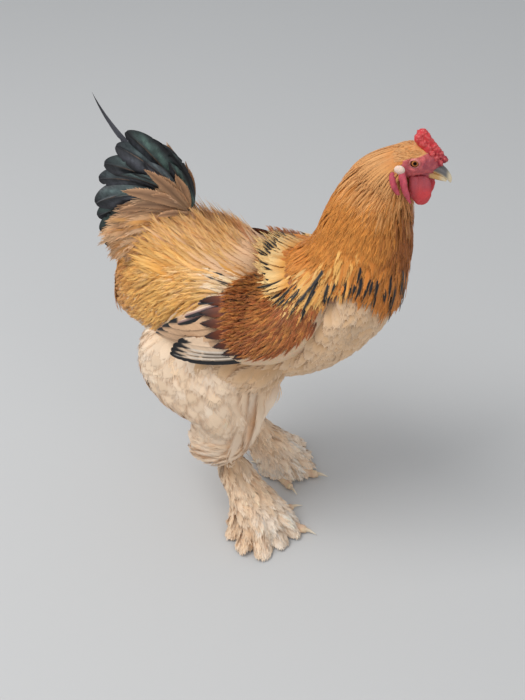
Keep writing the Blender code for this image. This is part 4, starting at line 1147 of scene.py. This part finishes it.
def tail_foot(coat, tint):
    """Feathers that climb from the back over the root of the tail."""
    rng = coat.rng
    n = 620
    t = rng.uniform(2.3, 4.0, n)
    a = 84 + (np.interp(t, [2.3, 3.2, 4.0], [152, 134, 106]) - 84) * rng.uniform(0, 1, n)
    root = trunk.place(t, a, -0.003)
    low = ramp(a, 90, 150)
    reach = about(rng, 0.06, 0.2, n)
    lift = np.radians(36 - 30 * low + rng.normal(0, 5, n))
    tip = root + np.stack([-np.cos(lift) * reach, 0 * t, np.sin(lift) * reach], axis=1)
    tip[:, 1] = 0.8 * root[:, 1] - 0.012 * (1 - low)
    way_root = unit(trunk.place(t - 0.3, a) - root)
    way_tip = unit(np.stack([-np.cos(1.4 * lift), -0.05 + 0 * t, np.sin(1.4 * lift)], axis=1))
    face = unit(0.6 * normal(trunk.place, t, a) + np.array([0.15, -0.4, 0.3]))
    ends = (root, tip, way_root, way_tip, normal(trunk.place, t, a), face)
    coat.deal(ends, SILK, 0.0036, tint, t, a, roll=0.03, cup=0.02)


def rear_fluff(coat):
    """Loose pale fluff of vent and lower rump."""
    tint = tinted([[(0, CREAM), (0.5, CREAM_PALE), (1, BUFF_WHITE)]], spread=0.04, locks=0.05, deep=0.95)
    t, a = scatter(trunk.place, 2.6, 0.1, 0.0115, 0.01, (204, 270), coat.rng)
    n = len(t)
    step = lie(trunk.place, t, a, about(coat.rng, 0.04, 0.2, n), 35 + coat.rng.normal(0, 12, n))
    coat.grow(trunk.place, t, a, step, 0.013, DOWNY, tint, out=0.0008, sunk=0.004, cup=0.0, rise=0.04,
              roll=0.04)


def neck_coat(coat):
    """Neck hackle: long silky feathers, darker in front with painted shade."""
    amber = [(0, BROWN), (0.45, AMBER), (1, AMBER_PALE)]
    # painted shade: the darker palette for the front of the neck
    front = [(0, BROWN_DARK), (0.5, BROWN), (1, BROWN)]
    crown = [(0, AMBER), (0.6, CROWN), (1, CROWN)]
    rng = coat.rng
    t, a = scatter(trunk.place, 10.75, 5.2, 0.003, 0.005, (84, 270), rng,
                   lambda t, a: t > hem(a, coat.left) + 1.2)
    more_t, more_a = scatter(trunk.place, 10.75, 8.0, 0.0026, 0.0042, (84, 270), rng)
    t, a = np.append(t, more_t), np.append(a, more_a)
    n = len(t)
    length = about(rng, np.interp(t, [5.5, 7.5, 9.0, 10.75], [0.06, 0.062, 0.048, 0.022]), 0.15, n)
    step = lie(trunk.place, t, a, length, rng.normal(0, 4, n) + 8 * ramp(a, 90, 140) * ramp(t, 8, 6))
    t, a, step = short_of_hem(t, a, step, length, 0.05, coat.left)

    def weigh(t, a, rng):
        top = ramp(t + rng.normal(0, 0.2, len(t)), 9.4, 10.5)
        fore = ramp(a + rng.normal(0, 8, len(a)), 200, 235) * (1 - top)
        return np.stack([(1 - fore) * (1 - top), fore, top], axis=1)

    tint = tinted([amber, front, crown], weigh, spread=0.1, locks=0.12, rim=GOLD_PALE, rim_share=0.15,
                  deep=0.94)
    half = np.interp(t, [6.3, 9, 10.7], [0.0034, 0.0028, 0.0018])
    coat.grow(neck_place, t, a, step, half, SILK, tint, out=0.002, cup=0.04, rise=0.05, roll=0.05)


def short_of_hem(t, a, step, length, over, left):
    """Feathers shortened so that their tips end at the hem of the hackle."""
    dt, da = step
    rng = np.random.default_rng(len(t))
    most = hem(a, left) + rng.normal(over, 0.1, len(t)) - t
    fit = np.minimum(1, most / np.minimum(dt, -1e-3))
    keep = fit * length > 0.02
    return t[keep], a[keep], (dt[keep] * fit[keep], da[keep] * fit[keep])


def cape_layer(coat, reach, spacing, angles, hems, length, wobble, over):
    """Places, steps and heights of one layer of the cape, which spans the hems beyond the hackle's own."""
    rng = coat.rng
    t, a = scatter(trunk.place, reach, 4.0, *spacing, angles, rng, lambda t, a: (
        (t > hem(a, coat.left) + hems[0]) & (t < hem(a, coat.left) + hems[1])))
    n = len(t)
    length = about(rng, *length, n)
    slant = rng.normal(0, wobble, n) + 12 * ramp(a, 95, 140) * ramp(a, 200, 160)
    t, a, step = short_of_hem(t, a, lie(trunk.place, t, a, length, slant), length, over[0], coat.left)
    return t, a, step, over[1] + 0.006 * ramp(t + step[0], 5.2, 4.2)


def cape_coat(coat):
    """The lowest hackle: straw and golden feathers with black centres, fanned over the shoulders."""
    gold = [(0, RUSSET), (0.4, GOLD), (1, GOLD_PALE)]
    straw = [(0, CREAM_DARK), (0.4, GOLD), (0.7, STRAW), (1, STRAW)]
    amber = [(0, BROWN), (0.5, AMBER), (1, AMBER)]

    def weigh(t, a, rng):
        pale = ramp(a + rng.normal(0, 6, len(a)), 136, 112)
        fore = ramp(a + rng.normal(0, 8, len(a)), 150, 176)
        return np.stack([(1 - pale) * (1 - fore), pale, fore], axis=1)

    def striped(t, a, rng):
        return 1.0 * (rng.uniform(0, 1, len(t)) < 0.85 - 0.25 * ramp(a, 140, 170))

    place = far_cape_place if coat.left else coat_place
    look = dict(spread=0.08, locks=0.12, rim=STRAW, rim_share=0.25, deep=0.92)
    t, a, step, out = cape_layer(coat, 8.4, (0.005, 0.0056), (85, 270), (0.35, 2.4), (0.058, 0.18), 6,
                                 (-0.05, 0.003))
    coat.grow(place, t, a, step, 0.0044, CAPE, tinted([gold, straw, amber], weigh, **look), out=out, cup=0.05)
    t, a, step, out = cape_layer(coat, 8.2, (0.0096, 0.01), (86, 270), (0.6, 2.0), (0.062, 0.15), 5,
                                 (0.0, 0.0052))
    coat.grow(place, t, a, step, 0.0046, CAPE, tinted([gold, straw, amber], weigh, striped=striped, **look),
              out=out, cup=0.04, roll=0.05)


def head_coat(coat):
    """Tiny feathers over crown, nape and throat, round the bare face."""
    crown = [(0, AMBER), (0.5, CROWN), (1, CROWN)]
    tint = tinted([crown], spread=0.06, locks=0.1, deep=0.97)
    t, a = scatter(head.place, 5.3, 0.15, 0.0013, 0.0016, (84, 272), coat.rng)
    x, y, z = head.place(t, a).T
    over = z > face_edge(x) + 0.0004
    rear = x - AHEAD < REAR_OF_FACE + 0.35 * (z - 0.537)
    clear = ~((x > COMB_BACK[0] - 0.002) & (np.abs(y) < 0.009) & (z > 0.552))
    keep = (over | rear) & clear
    t, a = t[keep], a[keep]
    n = len(t)
    length = about(coat.rng, np.interp(t, [0, 2, 5], [0.016, 0.011, 0.006]), 0.2, n)
    step = lie(head.place, t, a, length, 6 + coat.rng.normal(0, 8, n))
    half = np.interp(t, [0, 5], [0.0015, 0.0009])
    coat.grow(head.place, t, a, step, half, TINY, tint, out=0.0006, sunk=0.0006, roll=0.04)
    nape_feathers(coat, tint)


def nape_feathers(coat, tint):
    """Feathers that lead from the crown over the nape, so that head and neck flow together."""
    rng = coat.rng
    n = 420
    a = rng.uniform(84, 190, n)
    start = rng.uniform(0.4, 2.3, n)
    end = 10.5 - rng.uniform(0, 1.3, n)
    root = head.place(start, a, -0.0006)
    tip = neck_place(end, a + rng.normal(0, 3, n), 0.0025)
    way_root = unit(head.place(start - 0.2, a) - root) * 0.4 + unit(tip - root)
    way_tip = unit(neck_place(end - 0.2, a, 0.002) - neck_place(end, a, 0.002))
    ends = (root, tip, unit(way_root), way_tip, normal(head.place, start, a), normal(neck_place, end, a))
    coat.deal(ends, SILK, 0.0017, tint, start, a, rise=0.1)


def thigh_coat(coat):
    """Soft long feathers of the thigh, sweeping back round the hock cushion."""
    cream = [(0, CREAM), (0.5, CREAM_PALE), (1, CREAM_PALE)]
    white = [(0, CREAM), (0.5, CREAM_PALE), (1, BUFF_WHITE)]
    tint = tinted([cream, white], lambda t, a, rng: pair(ramp(t, 2.4, 0.6) * ramp(a, 200, 240)),
                  spread=0.06, locks=0.08, rim=CREAM_PALE, rim_share=0.3, deep=0.97)
    rng = coat.rng
    t, a = scatter(thigh.place, 0.4, 5.5, 0.0115, 0.01, (0, 360), rng)
    n = len(t)
    round_back = np.clip(-1.5 * np.cos(np.radians(a)), -1, 1)
    slant = 172 - 62 * ramp(t, 2.8, 4.4) * round_back + 22 * np.sin(1.9 * t + a / 25) + rng.normal(0, 6, n)
    step = lie(thigh.place, t, a, about(rng, 0.044, 0.18, n), slant)
    coat.grow(thigh.place, t, a, step, 0.013, DOWNY, tint, out=0.0, sunk=0.003, unwrap=leg_map, cup=0.0,
              rise=0.02, roll=0.03)
    hock_ends(coat, tint)


def hock_ends(coat, tint):
    """Longer feathers that wrap the hock cushion and stand out along its lower edge."""
    rng = coat.rng
    for turn in (1, -1):
        n = 60
        t = rng.uniform(4.0, 4.9, n)
        a = 90 + turn * rng.uniform(15, 115, n)
        slant = turn * (104 + rng.normal(0, 6, n))
        step = lie(thigh.place, t, a, about(rng, 0.05, 0.2, n), slant)
        out = 0.0035 + 0.006 * ramp(t, 4.4, 4.9)
        coat.grow(thigh.place, t, a, step, 0.0058, TUFT, tint, out=out, sunk=0.003, unwrap=leg_map, rise=0.2)


def free_ends(root, heading, face, length, bend):
    """Ends of feathers that stand free of the skin, bending as they go."""
    start = unit(heading)
    end = unit(start + bend)
    tip = root + 0.5 * np.asarray(length)[..., None] * (start + end)
    return root, tip, start, end, face, face


def shank_coat(coat):
    """Feathers down the shank and out over the foot, longest on its outer side."""
    def weigh(t, a, rng):
        return pair(ramp(t, 0.25, 0.6) * ramp(a, 85, 55) * rng.uniform(0.3, 1, len(t)))

    cream = [(0, CREAM_DARK), (0.6, CREAM), (1, CREAM_PALE)]
    white = [(0, CREAM), (0.6, WHITE), (1, WHITE)]
    tint = tinted([cream, white], weigh, spread=0.07, locks=0.1, rim=CREAM_PALE, deep=0.9)
    t, a = scatter(shank.place, 0.1, 1.2, 0.0062, 0.006, (0, 360), coat.rng)
    n = len(t)
    step = lie(shank.place, t, a, about(coat.rng, 0.03, 0.2, n), 178 + coat.rng.normal(0, 10, n))
    coat.grow(shank.place, t, a, step, 0.0062, TUFT, tint, out=0.004, sunk=0.004, unwrap=leg_map, low=0.001)
    foot_fan(coat, tint)


# How far the foot's feathers reach by heading, and the headings of their clumps
FOOT_TURNS = [-180, -110, -60, -38, -20, 8, 22, 46, 73, 95, 115, 135, 160, 180]
FOOT_REACHES = [0.026, 0.02, 0.024, 0.032, 0.042, 0.056, 0.062, 0.063, 0.078, 0.074, 0.064, 0.058, 0.036,
                0.026]
FOOT_CLUMPS = np.array([-30, -5, 20, 46, 73, 98, 124, 150])
FOOT_TOP, FOOT_DROP, SHANK_RADIUS = 0.105, 0.102, 0.019


def foot_place(t, turn, out=0.0):
    """Places on the skirt of foot feathers: t from 0 at the shank's top to 1 at the floor, by heading."""
    t, turn = np.broadcast_arrays(np.asarray(t, float), np.asarray(turn, float))
    z = FOOT_TOP - FOOT_DROP * t
    middle = shank.row(np.interp(-z, [-row[2] for row in SHANK], range(len(SHANK))))[..., :3]
    apart = np.min(np.abs(turn[..., None] - FOOT_CLUMPS), axis=-1)
    reach = np.interp(turn, FOOT_TURNS, FOOT_REACHES) * (1 - 0.2 * ramp(apart, 5, 13) * ramp(t, 0.45, 1.0))
    radius = SHANK_RADIUS + (reach - SHANK_RADIUS) * np.maximum(t, 0) ** 1.7 + out
    centre = middle + (HUB_PLACE - middle) * (t**2)[..., None]
    x = centre[..., 0] + np.cos(np.radians(turn)) * radius
    y = centre[..., 1] - np.sin(np.radians(turn)) * radius
    return np.stack([x, y, z + 0.4 * out], axis=-1)


def foot_fan(coat, tint):
    """Feathers over the whole skirt from the shank out over the toes."""
    rng = coat.rng
    t, turn = scatter(foot_place, 0.0, 0.86, 0.0062, 0.007, (-175, 175), rng)
    n = len(t)
    step = lie(foot_place, t, turn, about(rng, 0.036, 0.2, n), 180 + rng.normal(0, 7, n))
    step = (np.minimum(step[0], 1.0 - t), step[1])
    coat.grow(foot_place, t, turn, step, 0.0066, TUFT, tint, out=0.001, sunk=0.007, unwrap=leg_map,
              low=0.0012, roll=0.15)


# The lowest flight feathers, which lie over the thigh: root, tip and half width
PRIMARIES = np.array([
    (0.0325, -0.0925, 0.3353, -0.0925, -0.1015, 0.3033, 0.0085),
    (0.0256, -0.093, 0.3383, -0.0905, -0.1025, 0.3104, 0.0095),
    (0.0211, -0.0935, 0.3405, -0.0873, -0.1035, 0.3177, 0.0105),
    (0.0166, -0.094, 0.3427, -0.0804, -0.1045, 0.3258, 0.0115),
])
PRIMARY_DROOP = math.radians(22)
# The other flight feathers and the greater coverts: t and angle of root and tip, and height over the wing
SECONDARIES = [
    (4.3, 152, 2.14, 200, 0.0072), (4.25, 148, 2.2, 194, 0.008), (4.2, 144, 2.32, 187, 0.0088),
    (4.1, 140, 2.46, 180, 0.0096),
]
TERTIALS = [(4.1, 126, 2.66, 175, 0.0102), (4.1, 122, 2.78, 167, 0.0108), (4.1, 118, 2.95, 155, 0.0114)]
COVERTS = [
    (3.75, 136, 2.95, 153, 0.0125), (3.85, 142, 3.00, 160, 0.012), (3.95, 148, 3.08, 166, 0.0115),
    (4.05, 154, 3.22, 173, 0.011), (4.25, 157, 3.42, 177, 0.012), (4.4, 160, 3.62, 180, 0.0115),
    (4.6, 162, 3.85, 180, 0.011),
]
SECONDARY_HALVES = (0.0085, 0.009, 0.009, 0.0085, 0.0046, 0.0046, 0.0046)
FAR_WING_EDGE = 151.0  # the far wing's feathers start below the cape, at this angle
FLIGHT_PALE = linear(236, 204, 172)


def arched(root, tip, face, bow):
    """Ends of feathers that bow between root and tip in the plane of their face."""
    straight = unit(tip - root)
    over = unit(np.cross(straight, face))
    bow = np.reshape(bow, (-1, 1))
    c, s = np.cos(bow), np.sin(bow)
    return straight * c + over * s, straight * c - over * s


def spread_over(colours, shade, n):
    """The colours of one feather, darker and lighter by barb, for n feathers."""
    return np.broadcast_to(colours * (0.9 + 0.16 * shade)[:, None], (n, len(colours), 3))


def primary(rng, u, v, edge, shade, t, a):
    """Cream flight feathers with black outer edge and tip and a white line."""
    dark = np.maximum(ramp(v, -0.8, -0.9), ramp(u + 0.05 * np.sin(9 * v), 0.87, 0.92))
    body = mixed(FLIGHT_PALE, BLACK, dark)
    line = np.exp(-(((v + 0.62) / 0.1) ** 2)) * ramp(u, 0.9, 0.8)
    return spread_over(mixed(body, WHITE, 0.8 * line), shade, len(t))


def edge_black(rng, u, v, edge, shade, t, a):
    """The lowest flight feather: black with a white line along its shaft."""
    line = np.exp(-(((v + 0.05) / 0.1) ** 2)) * ramp(u, 0.98, 0.9)
    return np.broadcast_to(mixed(BLACK, WHITE, 0.9 * line), (len(t), len(u), 3))


def secondary(rng, u, v, edge, shade, t, a):
    """Buff flight feathers with a black corner."""
    corner = ramp(u, 0.84, 0.88) * ramp(v, -0.1, 0.2)
    return spread_over(mixed(linear(214, 172, 134), BLACK, corner), shade, len(t))


def tertial(rng, u, v, edge, shade, t, a):
    """The innermost flight feathers: mauve, black and pale in bands along the shaft."""
    body = mixed(mixed(MAUVE, BLACK, ramp(v, 0.3, -0.1)), FLIGHT_PALE, ramp(v, 0.45, 0.6))
    return np.broadcast_to(body, (len(t), len(u), 3))


def wing_row(coat, row, sunk, shape, half, tint, **how):
    """One large feather over the folded wing."""
    t0, a0, t1, a1, level = (np.array([value], float) for value in row)
    if coat.left:
        a0 = np.maximum(a0, FAR_WING_EDGE)
    ends = laid(wing_place, t0, a0, t1 - t0, a1 - a0, sunk, level - 0.003)
    coat.add(ends, shape, half, tint, t0, a0, **how)


def wing_coat(coat):
    """The folded wing: flight feathers, greater coverts and the chestnut bow over them."""
    rng = coat.rng
    root, tip = (PRIMARIES[:, i:i + 3] + np.array([AHEAD, 0, 0]) for i in (0, 3))
    face = np.repeat(unit(np.array([[0.05, -1.0, 0.12]])), len(root), axis=0)
    ends = (root, tip, *arched(root, tip, face, -PRIMARY_DROOP), face, face)
    for k, half in enumerate(PRIMARIES[:, 6]):
        coat.add([e[k:k + 1] for e in ends], BROAD[k], half, primary if k else edge_black,
                 np.array([4.6 + 0.1 * k]), np.array([190.0]), roll=0.03, cup=0.1, rise=0.0)
    for k, (row, half) in enumerate(zip(SECONDARIES + TERTIALS, SECONDARY_HALVES)):
        tint = secondary if k < len(SECONDARIES) else tertial
        wing_row(coat, row, 0.002, BROAD[k % 5], half, tint, roll=0.04, cup=0.12, rise=0.06)
    banded = [(0, MAUVE), (0.35, MAUVE), (0.5, CHESTNUT), (0.72, CHESTNUT_DARK), (0.84, BLACK), (1, BLACK)]
    covert = tinted([banded], spread=0.1, shaft=CHESTNUT_DARK, deep=0.95)
    for k, row in enumerate(COVERTS):
        wing_row(coat, row, 0.001, COVERT[k % 5], 0.0068, covert, roll=0.08, cup=0.15)

    def golden(t, a, rng):
        some = 0.5 * (rng.uniform(0, 1, len(t)) < 0.28)
        patches = ramp(np.sin(2.9 * t + a / 9) * np.sin(a / 6 - 1.3 * t), 0.1, 0.8)
        return pair(0.05 + some + 0.35 * ramp(a, 136, 118) + 0.45 * patches)

    def shown(t, a):
        fore = np.interp(a, [118, 121, 140, 158, 172, 178], [5.2, 5.3, 5.5, 6.2, 6.0, 5.5])
        rear = np.interp(a, [118, 120, 130, 144, 153, 165, 172, 178, 182],
                         [3.7, 3.55, 3.3, 3.2, 3.3, 3.4, 3.55, 3.85, 4.6])
        return (t < fore) & (t > rear) & (a > (FAR_WING_EDGE if coat.left else 0))

    chestnut = [(0, CHESTNUT_DARK), (0.5, CHESTNUT), (1, CHESTNUT)]
    gold = [(0, CHESTNUT), (0.5, RUSSET), (1, GOLD)]
    bow = tinted([chestnut, gold], golden, spread=0.18, locks=0.34, rim=linear(214, 148, 88), rim_share=0.65)
    tip_t, tip_a = scatter(wing_place, 6.3, 3.1, 0.0034, 0.004, (118, 182), rng, shown)
    n = len(tip_t)
    dt, da = lie(wing_place, tip_t, tip_a, about(rng, 0.024, 0.2, n), 30 + rng.normal(0, 9, n))
    out = 0.01 * ramp(tip_t, 5.0, 3.9) + 0.001
    coat.grow(wing_place, tip_t - dt, tip_a - da, (dt, da), 0.0034, BOW, bow, out=out, sunk=0.002)


TAIL_ROOT = np.array([-0.098 + AHEAD, 0.0, 0.44])
SICKLE_RISE, SICKLE_LENGTH = math.radians(22), 0.164
# Where the broad tail feathers end: x and z from the root, half width, bow and height over the fan's plane
NEAR_FAN = [
    (-0.016, 0.05, 0.0105, 0.14, 0.001), (-0.027, 0.066, 0.012, 0.15, 0.002),
    (-0.039, 0.077, 0.0135, 0.16, 0.003), (-0.052, 0.085, 0.0145, 0.18, 0.005),
    (-0.067, 0.094, 0.0165, 0.2, 0.009), (-0.079, 0.076, 0.0145, 0.28, 0.005),
    (-0.092, 0.056, 0.016, 0.36, 0.008), (-0.099, 0.036, 0.015, 0.45, 0.005),
    (-0.103, 0.008, 0.017, 0.62, 0.01), (-0.102, -0.01, 0.015, 0.5, 0.006),
    (-0.099, -0.028, 0.016, 0.55, 0.008), (-0.094, -0.047, 0.015, 0.5, 0.006),
    (-0.087, -0.064, 0.014, 0.45, 0.005),
]
FAR_FAN = [
    (-0.018, 0.04, 0.01, 0.12, 0.001), (-0.027, 0.052, 0.0115, 0.12, 0.002),
    (-0.04, 0.06, 0.013, 0.14, 0.003), (-0.054, 0.064, 0.0135, 0.16, 0.005),
    (-0.07, 0.064, 0.015, 0.2, 0.007), (-0.085, 0.056, 0.015, 0.26, 0.005),
    (-0.094, 0.04, 0.0155, 0.34, 0.007), (-0.1, 0.018, 0.0155, 0.45, 0.005),
    (-0.102, -0.002, 0.016, 0.55, 0.008), (-0.1, -0.022, 0.0155, 0.5, 0.006),
    (-0.094, -0.042, 0.015, 0.5, 0.007), (-0.086, -0.06, 0.014, 0.45, 0.005),
]
# The longest coverts over the fan, in the same way
LONG_COVERTS = [
    (-0.01, 0.04, 0.0056, 0.1, 0.016), (-0.016, 0.048, 0.006, 0.12, 0.018),
    (-0.022, 0.034, 0.0056, 0.15, 0.02), (-0.033, 0.046, 0.006, 0.18, 0.016),
    (-0.048, 0.058, 0.0075, 0.12, 0.027), (-0.042, 0.024, 0.006, 0.25, 0.02),
    (-0.074, 0.03, 0.008, 0.26, 0.025), (-0.064, 0.01, 0.0062, 0.3, 0.02),
    (-0.082, 0.002, 0.0062, 0.35, 0.02), (-0.036, 0.000, 0.005, 0.3, 0.027),
]
FAN_FACE = unit(np.array([0.3, -1.0, 0.1]))


def fanned(x, z, bow, level, tilt, start=0.0):
    """Ends of feathers in the fan's plane that run from the tail's root to x and z, bowed up and back."""
    drop = np.array([0, 0, 0.014]) * ramp(z, 0.03, -0.04)[:, None]
    root = TAIL_ROOT + FAN_FACE * (0.35 * level)[:, None] - drop
    tip = TAIL_ROOT + np.stack([x, 0.3 * x + 0.1 * z, z], axis=1) + FAN_FACE * level[:, None]
    straight = unit(tip - root)
    over = unit(np.cross(straight, FAN_FACE))
    face = unit(FAN_FACE + over * tilt[:, None])
    ways = arched(root, tip, FAN_FACE, bow)
    return root + (tip - root) * np.reshape(start, (-1, 1)), tip, *ways, face, face


def rayed(degrees, reach):
    """Places in the fan's plane at a reach and degrees over the line straight back."""
    return -np.cos(np.radians(degrees)) * reach, np.sin(np.radians(degrees)) * reach


def glossy(rng, u, v, edge, shade, t, a):
    """A black feather with a painted green and slate sheen on both sides of its shaft."""
    # painted sheen: bands of reflected light painted into the colour on both sides of the shaft, broken by
    # the barbs
    sheen = np.exp(-(((v - 0.38) / 0.3) ** 2)) + 0.45 * np.exp(-(((v + 0.45) / 0.22) ** 2))
    sheen = sheen * (0.75 + 0.25 * np.sin(31 * (u - 0.35 * np.abs(v)))) * ramp(u, 1.02, 0.8)
    hue = rng.uniform(0.3, 1)
    body = mixed(linear(38, 38, 42), mixed(PAINTED_SHEEN_SLATE, PAINTED_SHEEN_TEAL, hue * ramp(v, -0.6, 0.3)), np.clip(sheen, 0, 1))
    body = mixed(body, linear(16, 16, 18), 0.9 * ramp(np.abs(v), 0.7, 0.98))
    body = mixed(body, UMBER, 0.8 * (np.abs(v) < 0.03) * ramp(u, 0.98, 0.7))
    body = body * (0.66 + 0.68 * shade)[:, None] * rng.uniform(0.75, 1.3)
    return np.broadcast_to(body, (len(t), len(u), 3))


def tail_coat(coat):
    """The broad glossy feathers of one side of the tail, and narrower ones inside the fan."""
    rng = coat.rng
    x, z, half, bow, level = np.array(FAR_FAN if coat.left else NEAR_FAN).T
    ends = fanned(x, z, bow, level, rng.normal(0, 0.28, len(x)))
    coat.each(ends, BROAD, half, glossy, 1.0 + 0.3 * np.arange(len(x)), 100.0, roll=0.05, cup=0.3, rise=0.0)
    n = 9
    degrees = np.linspace(60, -34, n) + rng.normal(0, 3, n)
    reach = np.interp(degrees, [-40, 0, 50, 80], [0.082, 0.088, 0.09, 0.062]) * rng.uniform(0.85, 1.05, n)
    ends = fanned(*rayed(degrees, reach), 0.2 + 0.3 * ramp(degrees, 60, 0), rng.uniform(0.011, 0.014, n),
                  rng.normal(0, 0.3, n))
    halves = np.full(n, 0.0078)
    coat.each(ends, LANCE, halves, glossy, 4.5 + 0.2 * np.arange(n), 104.0, roll=0.1, cup=0.25, rise=0.0)


def sickle():
    """The single thin curved feather that rises over the tail."""
    coat = Coat(88)
    # painted sheen: the slate along the middle of the black feather
    tint = tinted([[(0, UMBER), (0.4, PAINTED_SHEEN_SLATE), (1, BLACK)]], spread=0)
    root = TAIL_ROOT + np.array([[-0.004, 0.0, 0.02]])
    heading = np.array([[-math.cos(SICKLE_RISE), 0.0, math.sin(SICKLE_RISE)]])
    face = unit(np.array([[0.3, -0.75, 0.45]]))
    ends = free_ends(root, heading, face, np.array([SICKLE_LENGTH]), np.array([-0.1, 0.0, 2.2]))
    vane = broad_vane(SHAPES, pointed_outline)
    coat.add(ends, vane, 0.0042, tint, np.array([11.0]), np.array([100.0]), roll=0.0, cup=0.2, rise=0.0)
    coat.piece("sickle_feather", GLOSSY, "tail_feathers", [])


def covert_coat(coat):
    """Cinnamon coverts over the root of the tail, and the wispy fringe between them and the saddle."""
    rng = coat.rng
    cinnamon = [(0, CREAM_DARK), (0.4, CINNAMON), (1, CINNAMON)]
    umber = [(0, UMBER), (0.5, UMBER), (1, CINNAMON)]
    tint = tinted([cinnamon, umber], lambda t, a, rng: pair(rng.uniform(0, 0.35, len(t))), spread=0.1,
                  locks=0.25, rim=CINNAMON_PALE, rim_share=0.8, shaft=UMBER)
    x, z, half, bow, level = np.array(LONG_COVERTS).T
    ends = fanned(x, z, bow, level, rng.normal(0, 0.2, len(x)), np.full(len(x), 0.06))
    coat.each(ends, COVERT, half, tint, 0.3 + 0.3 * np.arange(len(x)), 120.0, roll=0.15, cup=0.2)

    def weigh(t, a, rng):
        share = rng.uniform(0, 1, len(t))
        return np.stack([share, (1 - share) * (t < 0.85), (1 - share) * (t >= 0.85)], axis=1)

    pale = [(0, CINNAMON), (0.5, CINNAMON_PALE), (1, CINNAMON_PALE)]
    wisp = tinted([pale, [(0, RUSSET), (0.5, GOLD), (1, CINNAMON)], [(0, UMBER), (1, CINNAMON)]], weigh,
                  spread=0.1, locks=0.25, rim=CINNAMON_PALE, rim_share=0.4)
    n = 110
    degrees = 70 - 112 * rng.uniform(0, 1, n) ** 0.55
    reach = np.interp(degrees, [-42, -20, 0, 30, 80], [0.102, 0.106, 0.086, 0.05, 0.04])
    reach = reach * rng.uniform(0.72, 1.06, n)
    start = np.clip(1 - about(rng, 0.046, 0.2, n) / reach, 0.0, 0.6)
    ends = fanned(*rayed(degrees, reach), 0.1 + 0.25 * ramp(degrees, 60, -20), rng.uniform(0.009, 0.017, n),
                  rng.normal(0, 0.35, n), start)
    coat.deal(ends, TUFT[:5], 0.0052, wisp, 0.9 + degrees / 150, 115 + degrees / 4, roll=0.3)
    t, a = scatter(tail_core.place, 0.1, 2.4, 0.006, 0.0065, (60, 300), rng)
    step = lie(tail_core.place, t, a, about(rng, 0.03, 0.2, len(t)), 180 + rng.normal(0, 10, len(t)))
    coat.grow(tail_core.place, t, a, step, 0.005, TUFT, wisp, out=0.002, sunk=0.003)


# The fleshy root of the tail under its coverts
tail_core = Form([
    (-0.084, 0.0, 0.385, 0.020, 0.018, 0.020), (-0.102, 0.0, 0.420, 0.014, 0.013, 0.016),
    (-0.112, 0.0, 0.442, 0.009, 0.008, 0.010), (-0.118, 0.0, 0.452, 0.004, 0.003, 0.004),
])

make_skin()
make_comb()
make_beak()
for side in ("left", "right"):
    make_eye(side)
    make_folds(side)
    make_feet(side)
two_sided("breast", 20, breast_coat, SOFT, "cream_feathers")
two_sided("fluff", 40, rear_fluff, SOFT, "cream_feathers")
two_sided("back", 30, back_coat, SILKY, "gold_feathers")
two_sided("saddle", 50, saddle_coat, SILKY, "gold_feathers")
two_sided("hackle", 60, neck_coat, SILKY, "gold_feathers")
two_sided("cape", 62, cape_coat, SILKY, "gold_feathers")
two_sided("crown", 65, head_coat, SILKY, "gold_feathers")
two_sided("wing_feathers", 70, wing_coat, SILKY, "wing_feathers", ["wing_{}"])
two_sided("tail_feathers", 80, tail_coat, GLOSSY, "tail_feathers", ["tail_{}"])
two_sided("tail_coverts", 85, covert_coat, SILKY, "tail_feathers")
two_sided("thigh_feathers", 90, thigh_coat, SOFT, "cream_feathers", (), flip_leg)
two_sided("shank_feathers", 100, shank_coat, SOFT, "cream_feathers", (), flip_leg)
sickle()

# Floor, light and camera
LAMPS = (("key", (-1.1, -0.9, 2.5), 1.5, 42), ("fill", (1.6, -1.6, 1.4), 1.6, 7))  # with size and power
LAMP_AIM = Vector((0, 0, 0.3))
SKY, SKY_STRENGTH = (0.93, 0.96, 1.0, 1), 0.55
FLOOR_COLOUR, FLOOR_HALF = (0.60, 0.60, 0.595, 1), 6
CAMERA_PLACE, CAMERA_AIM = (0.30268 + AHEAD, -1.02790, 1.09021), (-0.2304, 0.7536, -0.6157)
SENSOR, LENS = 36, 56.6


def placed(name, data, place=(0, 0, 0), aim=None):
    """An object in the scene at a place, looking along aim."""
    thing = bpy.data.objects.new(name, data)
    thing.location = place
    if aim is not None:
        thing.rotation_euler = Vector(aim).to_track_quat("-Z", "Y").to_euler()
    bpy.context.scene.collection.objects.link(thing)
    return thing


floor_mesh = bpy.data.meshes.new("floor")
corners = [(x * FLOOR_HALF, y * FLOOR_HALF, 0) for x, y in ((-1, -1), (1, -1), (1, 1), (-1, 1))]
floor_mesh.from_pydata(corners, [], [(0, 1, 2, 3)])
pale_floor = bpy.data.materials.new("pale_floor")
pale_floor.use_nodes = True
matt = pale_floor.node_tree.nodes["Principled BSDF"].inputs
matt["Base Color"].default_value = FLOOR_COLOUR
matt["Roughness"].default_value = 0.9
floor_mesh.materials.append(pale_floor)
placed("floor", floor_mesh)

bpy.context.scene.view_settings.view_transform = "Standard"
world = bpy.data.worlds.new("studio")
bpy.context.scene.world = world
world.use_nodes = True
sky = world.node_tree.nodes["Background"].inputs
sky["Color"].default_value = SKY
sky["Strength"].default_value = SKY_STRENGTH
for name, place, size, power in LAMPS:
    lamp = bpy.data.lights.new(name, "AREA")
    lamp.size = size
    lamp.energy = power
    placed(name, lamp, place, LAMP_AIM - Vector(place))

camera = bpy.data.cameras.new("camera")
camera.sensor_width = SENSOR
camera.lens = LENS
bpy.context.scene.camera = placed("camera", camera, CAMERA_PLACE, CAMERA_AIM)
